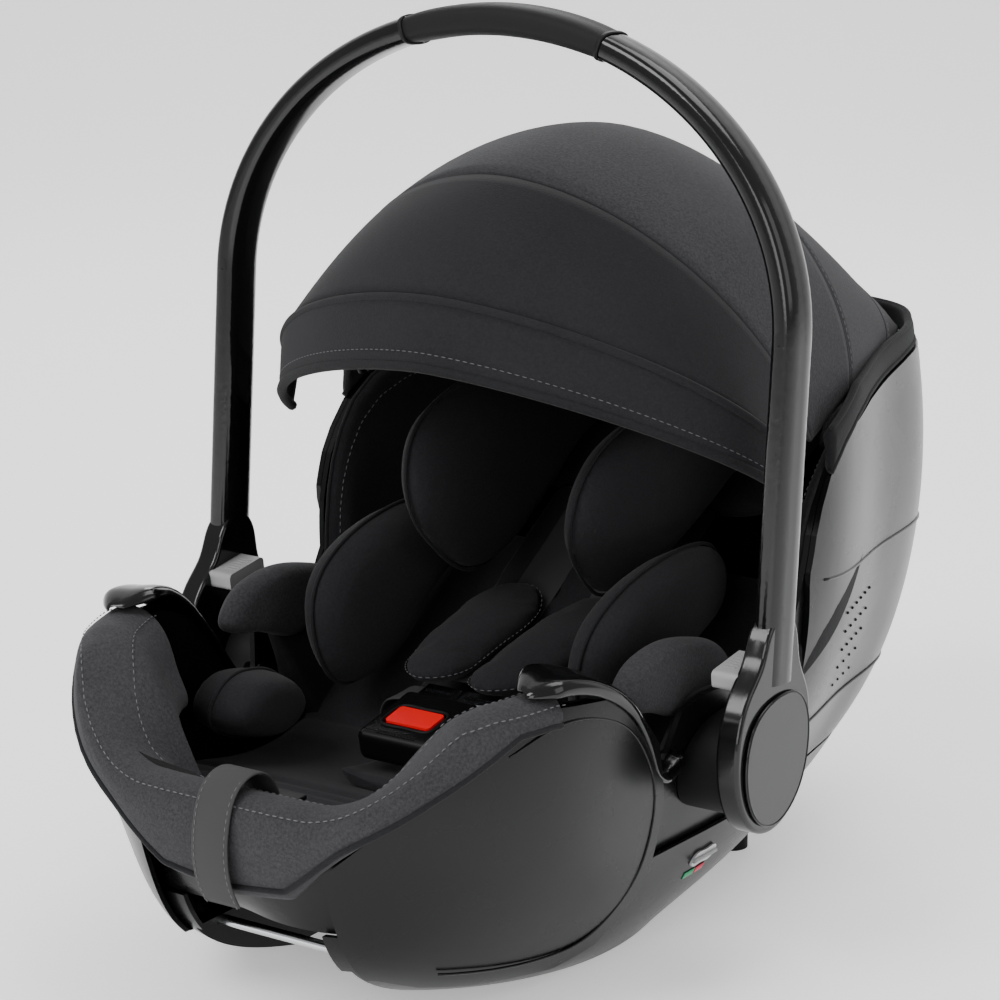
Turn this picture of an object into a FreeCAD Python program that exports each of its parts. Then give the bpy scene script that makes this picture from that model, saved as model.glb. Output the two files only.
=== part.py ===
import FreeCAD, Part
import math
import os
from FreeCAD import Vector, Placement, Rotation

# Infant car seat with a carry handle. Millimetres. X is across the seat, +Y points to the
# head end, Z is up, and the rocker stands on Z = 0.

doc = FreeCAD.newDocument("infant_carrier")
sheet = doc.addObject("Spreadsheet::Sheet", "sizes")
SIZES = [
    ("shell_width", 396, "widest place of the shell, at the ears"),
    ("shell_length", 692, "foot end to head end of the shell"),
    ("shell_height", 341, "ground to the head end rim"),
    ("wall", 4, "moulded wall"),
    ("skin_gap", 0.5, "gap between the tub and the skins around it"),
    ("panel_gap", 2, "gap behind the side panels"),
    ("floor_thick", 5, "floor of the tub"),
    ("bumper_thick", 12, "padding outside the rim at the foot end"),
    ("pad_thick", 16, "seat pad"),
    ("insert_thick", 11, "back pad of the newborn insert"),
    ("soft_gap", 0.6, "gap between soft pieces"),
    ("bar_dia", 7, "steel lock bars"),
    ("bar_half", 74, "half length of the lock bars"),
    ("hole_gap", 0.4, "gap around pins and bars"),
    ("pin_dia", 12, "handle pivot pins"),
    ("leg_thick", 18, "handle leg across the seat"),
    ("leg_depth", 32, "handle leg front to back"),
    ("leg_clear", 10, "shell to the inside of the handle"),
    ("arch_rise", 192, "rounded top of the handle"),
    ("arch_base", 410, "height where the legs begin to curve"),
    ("grip_half", 75, "half length of the grip"),
    ("button_long", 38, "handle button along the leg"),
    ("button_tall", 12, "handle button height"),
    ("button_gap", 0.5, "gap around the handle buttons"),
    ("button_travel", 5, "travel of the handle buttons"),
    ("web_width", 34, "harness webbing"),
    ("web_thick", 1.6, "harness webbing thickness"),
    ("pull_width", 27, "pull strap at the foot end"),
    ("buckle_wide", 60, "buckle across the seat"),
    ("buckle_long", 62, "buckle front to back"),
    ("buckle_deep", 22, "buckle thickness"),
    ("red_wide", 35, "red button across the seat"),
    ("red_long", 20, "red button front to back"),
    ("red_travel", 4, "travel of the red button"),
    ("fabric", 2.5, "canopy panels"),
    ("bow_dia", 5, "canopy bows"),
    ("screw_dia", 8, "heads of the shell screws"),
    ("foot_dia", 24, "rear rest feet"),
]
for row, (name, value, note) in enumerate(SIZES, start=1):
    sheet.set("A%d" % row, name)
    sheet.set("B%d" % row, str(value))
    sheet.set("C%d" % row, note)
    sheet.setAlias("B%d" % row, name)
doc.recompute()


def val(name):
    return float(sheet.get(name))


KX = val("shell_width") / 396
KY = val("shell_length") / 692
KZ = val("shell_height") / 341
WALL = val("wall")
SKIN = WALL + val("skin_gap")
SOFT = val("soft_gap")
FAR = 600

# Half outlines of the shell at each height: (across, along) from the foot end round to
# the head end. The other half is mirrored.
OUTLINES = {
    0: [(0, -190), (60, -180), (105, -120), (115, -60), (105, 0), (88, 30), (60, 50), (0, 60)],
    20: [(0, -250), (65, -240), (120, -150), (128, -60), (122, 40), (112, 82), (90, 120), (0, 135)],
    45: [(0, -285), (72, -277), (130, -170), (140, -70), (138, 60), (126, 125), (105, 185), (0, 205)],
    75: [(0, -303), (75, -297), (142, -186), (152, -77), (152, 67), (137, 152), (112, 232), (0, 250)],
    123: [(0, -322), (80, -313), (158, -200), (165, -90), (170, 75), (149, 180), (120, 285), (0, 305)],
    160: [(0, -325), (110, -308), (165, -210), (172, -100), (183, 75), (158, 190), (122, 306), (0, 328)],
    210: [(0, -322), (148, -270), (170, -200), (180, -100), (195, 70), (165, 195), (124, 320), (0, 341)],
    270: [(0, -305), (150, -250), (173, -190), (185, -90), (198, 70), (166, 198), (124, 326), (0, 348)],
    350: [(0, -290), (150, -240), (173, -180), (186, -80), (198, 75), (162, 202), (114, 326), (0, 349)],
}
# Side view of the rim, and of the tub floor under the pads: (along, up).
RIM = [(-420, 154), (-315, 154), (-305, 170), (-289, 194), (-279, 210), (-262, 216),
       (-225, 218), (-180, 212), (-150, 200), (-128, 176), (-112, 148), (-98, 140),
       (-88, 150), (-80, 178), (-60, 184), (-20, 184), (10, 190), (24, 204), (30, 235),
       (40, 268), (49, 285), (63, 303), (85, 318), (112, 328), (150, 334), (205, 337),
       (262, 340), (420, 341)]
FLOOR = [(-420, 122), (-300, 122), (-250, 116), (-200, 104), (-150, 92), (-110, 88),
         (-70, 92), (-30, 108), (0, 122), (60, 160), (120, 198), (180, 232), (240, 262),
         (290, 286), (330, 304), (420, 330)]
# Front view of the line where the foot bumper meets the side panels: (across, up).
BUMPER_LINE = [(0, 92), (45, 99), (69, 122), (100, 149), (130, 179), (150, 202), (163, 217),
               (175, 232), (260, 240)]
PANEL = [(-360, 40), (-277, 41), (-250, 30), (-213, 22), (-155, 18), (-120, 25), (-96, 48),
         (-92, 74), (-98, 123), (-118, 168), (-149, 200), (-177, 213), (-225, 218),
         (-360, 218)]
PIVOT = (-36, 134)


def level(side, offset):
    """Height of a side view line at one place along the seat."""
    def at(along):
        for (y0, z0), (y1, z1) in zip(side, side[1:]):
            if y0 <= along <= y1:
                return z0 + (z1 - z0) * (along - y0) / (y1 - y0) + offset
        return side[-1][1] + offset
    return at


def outline_wire(height, offset, z=None):
    """Closed shell outline at one height, moved outwards by offset."""
    half = [(x * KX, y * KY) for x, y in OUTLINES[height]]
    ring = half + [(-x, y) for x, y in reversed(half[1:-1])]
    curve = Part.BSplineCurve()
    curve.interpolate(Points=[Vector(x, y, 0) for x, y in ring], PeriodicFlag=True)
    moved = []
    for x, y in ring:
        tangent = curve.tangent(curve.parameter(Vector(x, y, 0)))[0]
        moved.append(Vector(x + tangent.y * offset, y - tangent.x * offset,
                            (height if z is None else z) * KZ))
    out = Part.BSplineCurve()
    out.interpolate(Points=moved, PeriodicFlag=True)
    return Part.Wire(out.toShape())


def hull(offset, low=0, high=350, low_z=None):
    """Solid of the shell shape between two listed heights, moved outwards by offset."""
    wires = []
    for height in sorted(OUTLINES):
        if low <= height <= high:
            wires.append(outline_wire(height, offset, low_z if height == low else None))
    return Part.makeLoft(wires, True, False)


def side_prism(points, x0=-FAR, x1=FAR):
    """Solid with the given side view (along, up), from x0 to x1."""
    loop = [Vector(x0, y * KY, z * KZ) for y, z in points]
    return Part.Face(Part.makePolygon(loop + loop[:1])).extrude(Vector(x1 - x0, 0, 0))


def front_prism(points, y0=-FAR, y1=FAR):
    loop = [Vector(x * KX, y0, z * KZ) for x, z in points]
    return Part.Face(Part.makePolygon(loop + loop[:1])).extrude(Vector(0, y1 - y0, 0))


def above(side, offset):
    points = [(y, z + offset / KZ) for y, z in side]
    return side_prism(points + [(420, FAR), (-420, FAR)])


def slab(side, low, high, y0, y1):
    """Layer that follows a side view line, low to high over it, from y0 to y1."""
    inner = [y for y, z in side if y0 < y < y1]
    stations = [y0] + inner + [y1]
    height = level(side, 0)
    under = [(y, height(y) + low / KZ) for y in stations]
    over = [(y, height(y) + high / KZ) for y in reversed(stations)]
    return side_prism(under + over)


def box(x0, x1, y0, y1, z0, z1):
    return Part.makeBox(x1 - x0, y1 - y0, z1 - z0, Vector(x0, y0, z0))


def spline_prism(points, x0, x1):
    """Solid with a smooth closed side view (along, up), from x0 to x1."""
    curve = Part.BSplineCurve()
    curve.interpolate(Points=[Vector(x0, y * KY, z * KZ) for y, z in points],
                      PeriodicFlag=True)
    return Part.Face(Part.Wire(curve.toShape())).extrude(Vector(x1 - x0, 0, 0))


def mirrored(shape):
    return shape.mirror(Vector(0, 0, 0), Vector(1, 0, 0))


def ring_tube(stations):
    """Smooth solid through rounded rings: (centre, side vector, up vector)."""
    wires = []
    for centre, side, up in stations:
        points = []
        for i in range(12):
            turn = 2 * math.pi * i / 12
            c, s = math.cos(turn), math.sin(turn)
            fat = (abs(c) ** 3 + abs(s) ** 3) ** (-1 / 3)
            points.append(centre + side * (c * fat) + up * (s * fat))
        curve = Part.BSplineCurve()
        curve.interpolate(Points=points, PeriodicFlag=True)
        wires.append(Part.Wire(curve.toShape()))
    return Part.makeLoft(wires, True, False)


def ribbon(points, width, thick, across):
    """Strap of constant width and thickness that follows points, flat side along across."""
    across = Vector(across).normalize()
    wires = []
    for i, point in enumerate(points):
        run = points[min(i + 1, len(points) - 1)] - points[max(i - 1, 0)]
        normal = run.cross(across).normalize() * (thick / 2)
        side = across * (width / 2)
        corners = [point - side - normal, point + side - normal, point + side + normal,
                   point - side + normal]
        wires.append(Part.makePolygon(corners + corners[:1]))
    return Part.makeLoft(wires, True, False)


def moved(shape, placement):
    """Copy of a shape, carried to its place for good."""
    return shape.transformed(placement.Matrix, True)


def rounded(shape, radius, keep=lambda edge: True):
    edges = [edge for edge in shape.Edges if keep(edge)]
    try:
        out = shape.makeFillet(radius, edges)
        return out if out.isValid() and out.Volume > 0 else shape
    except Exception:
        return shape


def largest(shape):
    """The one solid of a shape, leaving slivers out."""
    return max(shape.Solids, key=lambda solid: solid.Volume)


NODES = []


def node(label, shape, at=(0, 0, 0)):
    piece = doc.addObject("Part::Feature", label)
    piece.Label = label
    if len(shape.Solids) == 1 and shape.ShapeType != "Solid":
        shape = shape.Solids[0]
    piece.Shape = shape
    piece.Placement = Placement(Vector(*at), Rotation())
    NODES.append(piece)
    return piece


def pair(name, shape):
    """One piece on each side: the given one at +X is the right one."""
    node(name + "_right", shape)
    node(name + "_left", mirrored(shape))


# ---- sketch based pieces ------------------------------------------------------------

def plane_of(body, name):
    for item in body.Origin.OriginFeatures:
        if item.Label.startswith(name) or item.Name.startswith(name):
            return item
    raise RuntimeError("no plane " + name)


def sketch_in(body, plane):
    sketch = body.newObject("Sketcher::SketchObject", body.Name + "_sketch")
    sketch.AttachmentSupport = [(plane_of(body, plane), "")]
    sketch.MapMode = "FlatFace"
    return sketch


def add_rectangle(sketch, width, height, x=None, y=None):
    """Centred rectangle; width and height are expressions."""
    first = sketch.GeometryCount
    corners = [(-10, -10), (10, -10), (10, 10), (-10, 10)]
    for i in range(4):
        a, b = corners[i], corners[(i + 1) % 4]
        sketch.addGeometry(Part.LineSegment(Vector(a[0], a[1], 0), Vector(b[0], b[1], 0)), False)
    import Sketcher
    for i in range(4):
        sketch.addConstraint(Sketcher.Constraint("Coincident", first + i, 2,
                                                 first + (i + 1) % 4, 1))
    for i in (0, 2):
        sketch.addConstraint(Sketcher.Constraint("Horizontal", first + i))
    for i in (1, 3):
        sketch.addConstraint(Sketcher.Constraint("Vertical", first + i))
    sketch.addConstraint(Sketcher.Constraint("Symmetric", first, 1, first + 1, 2, -1, 1))
    wide = sketch.addConstraint(Sketcher.Constraint("DistanceX", first, 1, first, 2, 20))
    tall = sketch.addConstraint(Sketcher.Constraint("DistanceY", first + 1, 1, first + 1, 2, 20))
    sketch.setExpression("Constraints[%d]" % wide, width)
    sketch.setExpression("Constraints[%d]" % tall, height)


def add_circle(sketch, radius):
    import Sketcher
    index = sketch.addGeometry(Part.Circle(Vector(0, 0, 0), Vector(0, 0, 1), 5), False)
    sketch.addConstraint(Sketcher.Constraint("Coincident", index, 3, -1, 1))
    size = sketch.addConstraint(Sketcher.Constraint("Radius", index, 5))
    sketch.setExpression("Constraints[%d]" % size, radius)


def new_body(label):
    body = doc.addObject("PartDesign::Body", label)
    body.Label = label
    return body


def pad_of(body, sketch, length, symmetric=True):
    pad = body.newObject("PartDesign::Pad", body.Name + "_pad")
    pad.Profile = sketch
    pad.Midplane = symmetric
    pad.setExpression("Length", length)
    return pad


def round_edges(body, feature, radius, choose):
    doc.recompute()
    names = ["Edge%d" % (i + 1) for i, edge in enumerate(feature.Shape.Edges) if choose(edge)]
    fillet = body.newObject("PartDesign::Fillet", body.Name + "_round")
    fillet.Base = (feature, names)
    fillet.Radius = radius
    return fillet


def along_axis(edge, axis):
    run = edge.Vertexes[-1].Point - edge.Vertexes[0].Point
    return run.Length > 0.1 and abs(run.normalize().dot(axis)) > 0.99


def bar(label, y, z, radius, half):
    """Round bar that lies across the seat."""
    body = new_body(label)
    sketch = sketch_in(body, "YZ")
    add_circle(sketch, radius)
    pad_of(body, sketch, half)
    body.Placement = Placement(Vector(0, y * KY, z * KZ), Rotation())
    NODES.append(body)
    return body


# ---- shell --------------------------------------------------------------------------

BARS = [("front_lock_bar", -256, 44), ("rear_lock_bar", 140, 37)]
for name, y, z in BARS:
    bar(name, y, z, "sizes.bar_dia / 2", "sizes.bar_half * 2")


def bar_hole(y, z):
    reach = val("bar_half") + 2
    radius = val("bar_dia") / 2 + val("hole_gap")
    return Part.makeCylinder(radius, 2 * reach, Vector(-reach, y * KY, z * KZ), Vector(1, 0, 0))


def base_pan():
    """Lower shell: two rocker runners with an open tunnel between them."""
    tunnel_half, tunnel_top = 62 * KX, 46 * KZ
    tray = hull(-WALL, 0, 75, WALL / KZ)
    top = outline_wire(75, -WALL, 80)
    tray = tray.fuse(Part.makeLoft([outline_wire(75, -WALL), top], True, True))
    cover = box(-tunnel_half - WALL, tunnel_half + WALL, -FAR, FAR, -1, tunnel_top + WALL)
    pan = hull(0, 0, 75).cut(tray.cut(cover))
    pan = pan.cut(box(-tunnel_half, tunnel_half, -FAR, FAR, -1, tunnel_top))
    notch = box(-56 * KX, 56 * KX, -FAR, -222 * KY, -1, 100 * KZ)
    pan = pan.cut(notch)
    for _, y, z in BARS:
        pan = pan.cut(bar_hole(y, z))
    return largest(pan)


node("base_pan", base_pan())

CROTCH_Y = -128
SLOT_Y = 137
STRAP_X = 30
HIP_X = 78


def strap_slots():
    """Gaps in the floor and the pads for the webbing."""
    gap = 1.5
    half = val("web_width") / 2 + gap
    holes = box(-half, half, CROTCH_Y * KY - 3, CROTCH_Y * KY + 3, 60 * KZ, 130 * KZ)
    for side in (-1, 1):
        x = side * STRAP_X * KX
        holes = holes.fuse(box(x - half, x + half, (SLOT_Y - 9) * KY, (SLOT_Y + 9) * KY,
                               150 * KZ, 245 * KZ))
        x = side * HIP_X * KX
        holes = holes.fuse(box(x - 4, x + 4, -45 * KY - half, -45 * KY + half,
                               60 * KZ, 128 * KZ))
    half = val("pull_width") / 2 + gap
    return holes.fuse(box(-half, half, -288 * KY, -278 * KY, 90 * KZ, 125 * KZ))


SLOTS = strap_slots()
PIN_X = val("shell_width") / 2 + val("leg_clear")


def pin_shape(extra):
    """Both pivot pins, or their holes when extra is more than zero."""
    radius = val("pin_dia") / 2 + extra
    start = Vector(PIN_X - 42, PIVOT[0] * KY, PIVOT[1] * KZ)
    return Part.makeCylinder(radius, 50 + extra * 2, start, Vector(1, 0, 0))


def seat_tub():
    """Bucket with its floor, under the pads."""
    outer = hull(-SKIN, 75, 350, 75.5)
    inner = hull(-SKIN - WALL, 75, 350, 74)
    floor = slab(FLOOR, -val("floor_thick"), 0, -420, 420)
    tub = outer.cut(inner.cut(floor)).cut(above(RIM, 0)).cut(SLOTS)
    hole = pin_shape(val("hole_gap"))
    return largest(tub.cut(hole).cut(mirrored(hole)))


node("seat_tub", seat_tub())


def back_cover():
    layer = hull(0, 75, 350).cut(hull(-WALL, 75, 350))
    area = [(33, 420), (33, 236), (44, 180), (62, 120), (104, 77.5), (420, 77.5), (420, 420)]
    return largest(layer.common(side_prism(area)).cut(above(RIM, 0)))


node("back_cover", back_cover())


def side_panel():
    """Clipped outer panel over one side of the foot end."""
    gap = val("panel_gap")
    layer = hull(gap + WALL, 0, 270).cut(hull(gap, 0, 270)).cut(hull(0.4, 0, 270))
    panel = layer.common(side_prism(PANEL)).common(box(70 * KX, FAR, -FAR, FAR, -1, FAR))
    base = hull(0.4, 0, 75)
    panel = panel.cut(base).cut(mirrored(base))
    line = [(x, z - 1.2) for x, z in BUMPER_LINE]
    return largest(panel.cut(front_prism(line + [(260, FAR), (0, FAR)], -FAR, -215 * KY)))


pair("side_panel", side_panel())

BELT_HOOK = [(-218, 231), (-196, 229), (-170, 223), (-148, 210), (-130, 188), (-114, 162),
             (-104, 148), (-92, 141), (-76, 142)]


def belt_guide():
    """Hook over the rim that holds the lap part of the car belt."""
    points = [Vector(174 * KX, y * KY, z * KZ + 6) for y, z in BELT_HOOK]
    hook = ribbon(points, 16, 5, (1, 0, 0))
    return largest(hook.cut(hull(val("panel_gap") + WALL + 1, 0, 270).common(
        side_prism([(y, z + 3) for y, z in PANEL]))).cut(hull(0.5).cut(above(RIM, 0.5))))


pair("belt_guide", rounded(belt_guide(), 1.2))


def hub_housing():
    """Bearing block between the tub and the handle."""
    start = Vector(120 * KX, PIVOT[0] * KY, PIVOT[1] * KZ)
    block = Part.makeCylinder(34, PIN_X - 3 - 120 * KX, start, Vector(1, 0, 0))
    block = block.cut(hull(0.5 - SKIN, 75, 350, 74)).cut(pin_shape(val("hole_gap")))
    return largest(block.cut(hull(0.5, 0, 75).fuse(box(0, FAR, -FAR, FAR, -1, 76 * KZ))))


pair("hub_housing", hub_housing())
pin = pin_shape(0)
node("pivot_pins", Part.makeCompound([pin, mirrored(pin)]))


def rear_feet():
    foot = Part.makeCylinder(val("foot_dia") / 2, 60, Vector(82 * KX, 140 * KY, 0))
    foot = largest(foot.cut(hull(0.3, 0, 75)))
    return Part.makeCompound([foot, mirrored(foot)])


node("rear_feet", rear_feet())


def belt_hook_back():
    """Slotted guide on the back for the shoulder part of the car belt."""
    block = box(-48 * KX, 48 * KX, 300 * KY, 356 * KY, 196 * KZ, 246 * KZ)
    block = block.common(hull(8)).cut(hull(0.6))
    return largest(block.cut(box(-34 * KX, FAR, 300 * KY, 400 * KY, 214 * KZ, 226 * KZ)))


node("shoulder_belt_guide", belt_hook_back())


def release_lever():
    block = box(-32 * KX, 32 * KX, 250 * KY, 350 * KY, 118 * KZ, 146 * KZ)
    return rounded(largest(block.common(hull(8)).cut(hull(1.0))), 1.5)


node("release_lever", release_lever())


def level_window():
    window = spline_prism([(-22, 53), (-19, 58), (-8, 58), (3, 58), (6, 53), (3, 48), (-8, 48),
                           (-19, 48)], 130 * KX, 160 * KX)
    return largest(window.common(hull(2)).cut(hull(0.3)))


node("level_window", level_window())


def screw(x, y, z, direction):
    radius = val("screw_dia") / 2
    head = Part.makeCylinder(radius, 3, Vector(x * KX, y * KY, z * KZ), direction)
    return head


SCREWS = [(56, 0, 46.5), (56, 70, 46.5), (56, -80, 46.5)]
heads = [screw(x - 12, y, z - 3.4 / KZ - 0.1, Vector(0, 0, 1)) for x, y, z in SCREWS]
node("shell_screws", Part.makeCompound(heads + [mirrored(head) for head in heads]))

# ---- harness ------------------------------------------------------------------------

BUCKLE = (0, -122, 143)
BUCKLE_TILT = 12


def buckle_frame():
    return Placement(Vector(BUCKLE[0], BUCKLE[1] * KY, BUCKLE[2] * KZ),
                     Rotation(Vector(1, 0, 0), BUCKLE_TILT))


def buckle_body():
    """Buckle with a well for the red button, a slot for the tongues and one for the strap."""
    wide, length, deep = val("buckle_wide"), val("buckle_long"), val("buckle_deep")
    body = rounded(box(-wide / 2, wide / 2, -length / 2, length / 2, -deep / 2, deep / 2), 6)
    red_x, red_y = val("red_wide") / 2 + 0.4, val("red_long") / 2 + 0.4
    body = body.cut(box(-red_x, red_x, -4 - red_y, -4 + red_y, deep / 2 - 9, deep))
    body = body.cut(box(-wide / 2 + 5, wide / 2 - 5, length / 2 - 14, length, -2, 3))
    half = val("web_width") / 2 + 0.6
    body = body.cut(box(-half, half, -12, -2, -deep, -deep / 2 + 7))
    return body


node("buckle_body", moved(buckle_body(), buckle_frame()))

red = new_body("buckle_button")
red_sketch = sketch_in(red, "XY")
add_rectangle(red_sketch, "sizes.red_wide", "sizes.red_long")
red_pad = pad_of(red, red_sketch, "sizes.red_travel + 2", False)
round_edges(red, red_pad, 3, lambda edge: along_axis(edge, Vector(0, 0, 1)))
red.Placement = buckle_frame().multiply(
    Placement(Vector(0, -4, val("buckle_deep") / 2 - 4.5), Rotation()))
NODES.append(red)


def tongue():
    """Metal tongue: a blade in the buckle and a wider bridge for the webbing."""
    wide = val("buckle_wide") / 2 - 7
    edge = val("buckle_long") / 2
    blade = box(1, wide, edge - 12, edge + 8, -0.6, 1.8)
    bridge = box(1, wide + 6, edge + 6, edge + 22, -2.5, 3.5)
    bridge = rounded(bridge, 1.5)
    web = box(4, wide + 3, edge + 11, edge + 15, -6, 6)
    out = blade.fuse(bridge).cut(web)
    return moved(out, buckle_frame())


pair("tongue", tongue())


def vec(x, y, z):
    return Vector(x * KX, y * KY, z * KZ)


WEB_W, WEB_T = val("web_width"), val("web_thick")


def shoulder_run():
    """Side view of the shoulder straps, over the back pad and down through the slots."""
    pad = val("pad_thick") + val("insert_thick") + SOFT + 2.5
    height = level(FLOOR, 0)
    run = [(-58, 157), (-40, 161), (-20, 165), (0, 168)]
    for y in (30, 50, 70, 90, 110):
        run.append((y, max(height(y) + pad / KZ, 168 + y * 0.2)))
    return run + [(128, height(126) + (pad - 1) / KZ), (136, height(124)), (139, 190),
                  (142, 168)]


def shoulder_strap():
    points = []
    for y, z in shoulder_run():
        share = min(1, max(0, (y + 58) / 90))
        points.append(vec(19 + (STRAP_X - 19) * share, y, z))
    return ribbon(points, WEB_W, WEB_T, (1, 0, 0))


pair("shoulder_strap", shoulder_strap())


def lap_strap():
    path = [(34, -73, 149), (48, -69, 146), (60, -62, 141), (71, -54, 131), (HIP_X, -47, 112),
            (HIP_X, -45, 92), (HIP_X, -45, 78)]
    return ribbon([vec(*p) for p in path], WEB_W - 10, WEB_T, (0, 1, 0.05))


pair("lap_strap", lap_strap())
crotch = [vec(0, CROTCH_Y, z) for z in (78, 95, 112, 131)]
node("crotch_strap", ribbon(crotch, WEB_W, WEB_T, (1, 0, 0)))


def chest_pad():
    """Soft pad that lies over one shoulder strap."""
    run = [(y, z) for y, z in shoulder_run() if y <= 60]
    lift = (WEB_T / 2 + SOFT + 0.6) / KZ
    first, last = level(run, lift)(-58), level(run, lift)(50)
    under = [(-94, first - 1)] + [(y, z + lift) for y, z in run] 
    under = [(y, z) for y, z in under if y <= 50]
    over = [(y, z + 14 / KZ) for y, z in reversed(under)]
    body = side_prism(under + over)
    plan = [(4, -60), (10, -84), (24, -93), (40, -84), (54, -50), (60, 0), (58, 40), (46, 50),
            (20, 50), (8, 30), (4, -10)]
    curve = Part.BSplineCurve()
    curve.interpolate(Points=[vec(x, y, 0) for x, y in plan], PeriodicFlag=True)
    plan_solid = Part.Face(Part.Wire(curve.toShape())).extrude(Vector(0, 0, FAR))
    return largest(body.common(plan_solid))


pair("shoulder_pad", chest_pad())


def crotch_pad():
    low = val("pad_thick") + 2 * SOFT
    pad = slab(FLOOR, low, low + 8, -168, -94).common(box(-34, 34, -FAR, FAR, 0, FAR))
    half = val("web_width") / 2 + 1.5
    return largest(pad.cut(box(-half, half, CROTCH_Y * KY - 3, CROTCH_Y * KY + 3, 0, FAR)))


node("crotch_pad", crotch_pad())

node("splitter_plate", box(-30, 30, 150 * KY, 153 * KY, 132 * KZ, 168 * KZ).cut(
    box(-24, 24, 148 * KY, 155 * KY, 138 * KZ, 143 * KZ)).cut(
    box(-24, 24, 148 * KY, 155 * KY, 156 * KZ, 161 * KZ)))


def adjuster_body():
    floor = level(FLOOR, 0.6)(-296)
    block = rounded(box(-22, 22, -296 * KY, -268 * KY, floor * KZ, floor * KZ + 15), 2)
    half = val("pull_width") / 2 + 1
    block = block.cut(box(-half, half, -287 * KY, -278 * KY, 0, FAR))
    return block.cut(box(-half, half, -276 * KY, -271 * KY, floor * KZ + 3.5, FAR))


node("adjuster_body", adjuster_body())


def adjuster_lever():
    """Flap that lets the pull strap slip when it is pressed."""
    floor = level(FLOOR, 0.6)(-296) * KZ
    half = val("pull_width") / 2 + 0.2
    flap = box(-half, half, -275.5 * KY, -271.5 * KY, floor + 7.6, floor + 22)
    return rounded(flap.fuse(box(-half, half, -275.5 * KY, -262 * KY, floor + 18.8, floor + 22)), 1)


node("adjuster_lever", adjuster_lever())
PULL = [(146, 138), (110, 122), (60, 100), (0, 82), (-60, 70), (-130, 66), (-200, 70),
        (-250, 84), (-276, 104), (-283, 126), (-288, 148), (-300, 168), (-317, 172),
        (-332, 164), (-338.5, 150), (-341, 136), (-341, 122), (-338, 108), (-330, 92)]
node("adjuster_strap", ribbon([vec(0, y, z) for y, z in PULL], val("pull_width"), WEB_T,
                              (1, 0, 0)))

# ---- soft goods in and on the shell ---------------------------------------------------

LINER = SKIN + WALL + 1


def foot_bumper():
    """Padded cover that wraps the rim of the foot end."""
    thick = val("bumper_thick")
    soft = hull(thick, 75, 350, 75).cut(hull(-SKIN - WALL - 12, 75, 350, 70))
    inside = hull(-SKIN + 0.4, 75, 350, 70).cut(above(RIM, 1))
    soft = soft.cut(inside).cut(above(RIM, 9))
    line = [(x, z + 0.8) for x, z in BUMPER_LINE]
    mirror_line = [(-x, z) for x, z in reversed(line)]
    under = front_prism(mirror_line + line + [(260, -10), (-260, -10)])
    soft = soft.cut(under).cut(box(-FAR, FAR, -226 * KY, FAR, -FAR, FAR))
    return largest(soft)


node("foot_bumper", foot_bumper())


def side_cover():
    """Lining of one side, with the padded bump that laps over the rim next to the hub."""
    lining = hull(-LINER, 75, 350, 75).cut(hull(-LINER - 4, 75, 350, 70))
    room = slab(FLOOR, val("pad_thick") + 3, FAR, 50, 420)
    lining = lining.common(room).cut(above(RIM, -2)).common(box(0.5, FAR, -FAR, FAR, 0, FAR))
    bump = spline_prism([(-134, 192), (-124, 207), (-100, 216), (-72, 218), (-40, 212),
                         (-8, 198), (2, 186), (-30, 172), (-62, 166), (-98, 178)],
                        142 * KX, 164 * KX)
    return Part.makeCompound([largest(lining), bump])


pair("side_cover", side_cover())


def pad_layer(low, high, y0, y1, inset):
    return slab(FLOOR, low, high, y0, y1).common(hull(-LINER - inset, 75, 350, 70))


PAD_TOP = val("pad_thick") + SOFT


def seat_pad():
    pad = pad_layer(SOFT, PAD_TOP, -296, 118, 5).cut(SLOTS)
    return largest(pad.cut(box(-24, 24, -FAR, -259 * KY, 0, FAR)))


node("seat_pad", seat_pad())


def back_pad():
    layer = slab(FLOOR, PAD_TOP + SOFT, PAD_TOP + SOFT + val("insert_thick"), -84, 148)
    layer = layer.common(box(-64 * KX, 64 * KX, -FAR, 110 * KY, 0, FAR))
    return largest(layer.cut(SLOTS))


node("insert_back_pad", back_pad())


def soft_lens(points, x0, x1, radius):
    return rounded(spline_prism(points, x0 * KX, x1 * KX), radius)


HIP = [(-98, 185), (-92, 214), (-63, 236), (-20, 248), (33, 250), (66, 236), (70, 214),
       (40, 192), (0, 164), (-40, 146), (-76, 146)]
pair("hip_wing", soft_lens(HIP, 84, 124, 12))
pair("leg_roll", soft_lens([(-196, 150), (-180, 170), (-150, 172), (-122, 160), (-112, 142),
                            (-130, 128), (-170, 132)], 96, 142, 10))


def headrest_core():
    layer = pad_layer(PAD_TOP + SOFT, PAD_TOP + SOFT + 16, 150, 286, 6)
    return largest(layer.common(box(-108 * KX, 108 * KX, -FAR, FAR, 0, FAR)))


node("headrest_core", headrest_core())
HEAD = [(-44, 286), (-30, 312), (5, 330), (60, 338), (130, 334), (200, 330), (216, 306),
        (170, 276), (110, 244), (50, 216), (10, 212), (-24, 236), (-42, 260)]
pair("headrest_wing", soft_lens(HEAD, 48, 81, 10))

# ---- canopy --------------------------------------------------------------------------

# Arches across the seat: top along, top up, half width, foot along, foot up, roundness.
HEM = (-119, 384, 191, -3, 311, 1.6)
PIPING = (-109, 426, 189, 2, 338, 1.75)
FRONT_SEAM = (-30, 493, 180, 62, 325, 1.9)
MID_SEAM = (165, 488, 174, 122, 344, 1.7)
REAR_SEAM = (282, 404, 146, 224, 350, 1.8)
HEAD_END = (322, 352, 118, 296, 349, 2.0)


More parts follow.
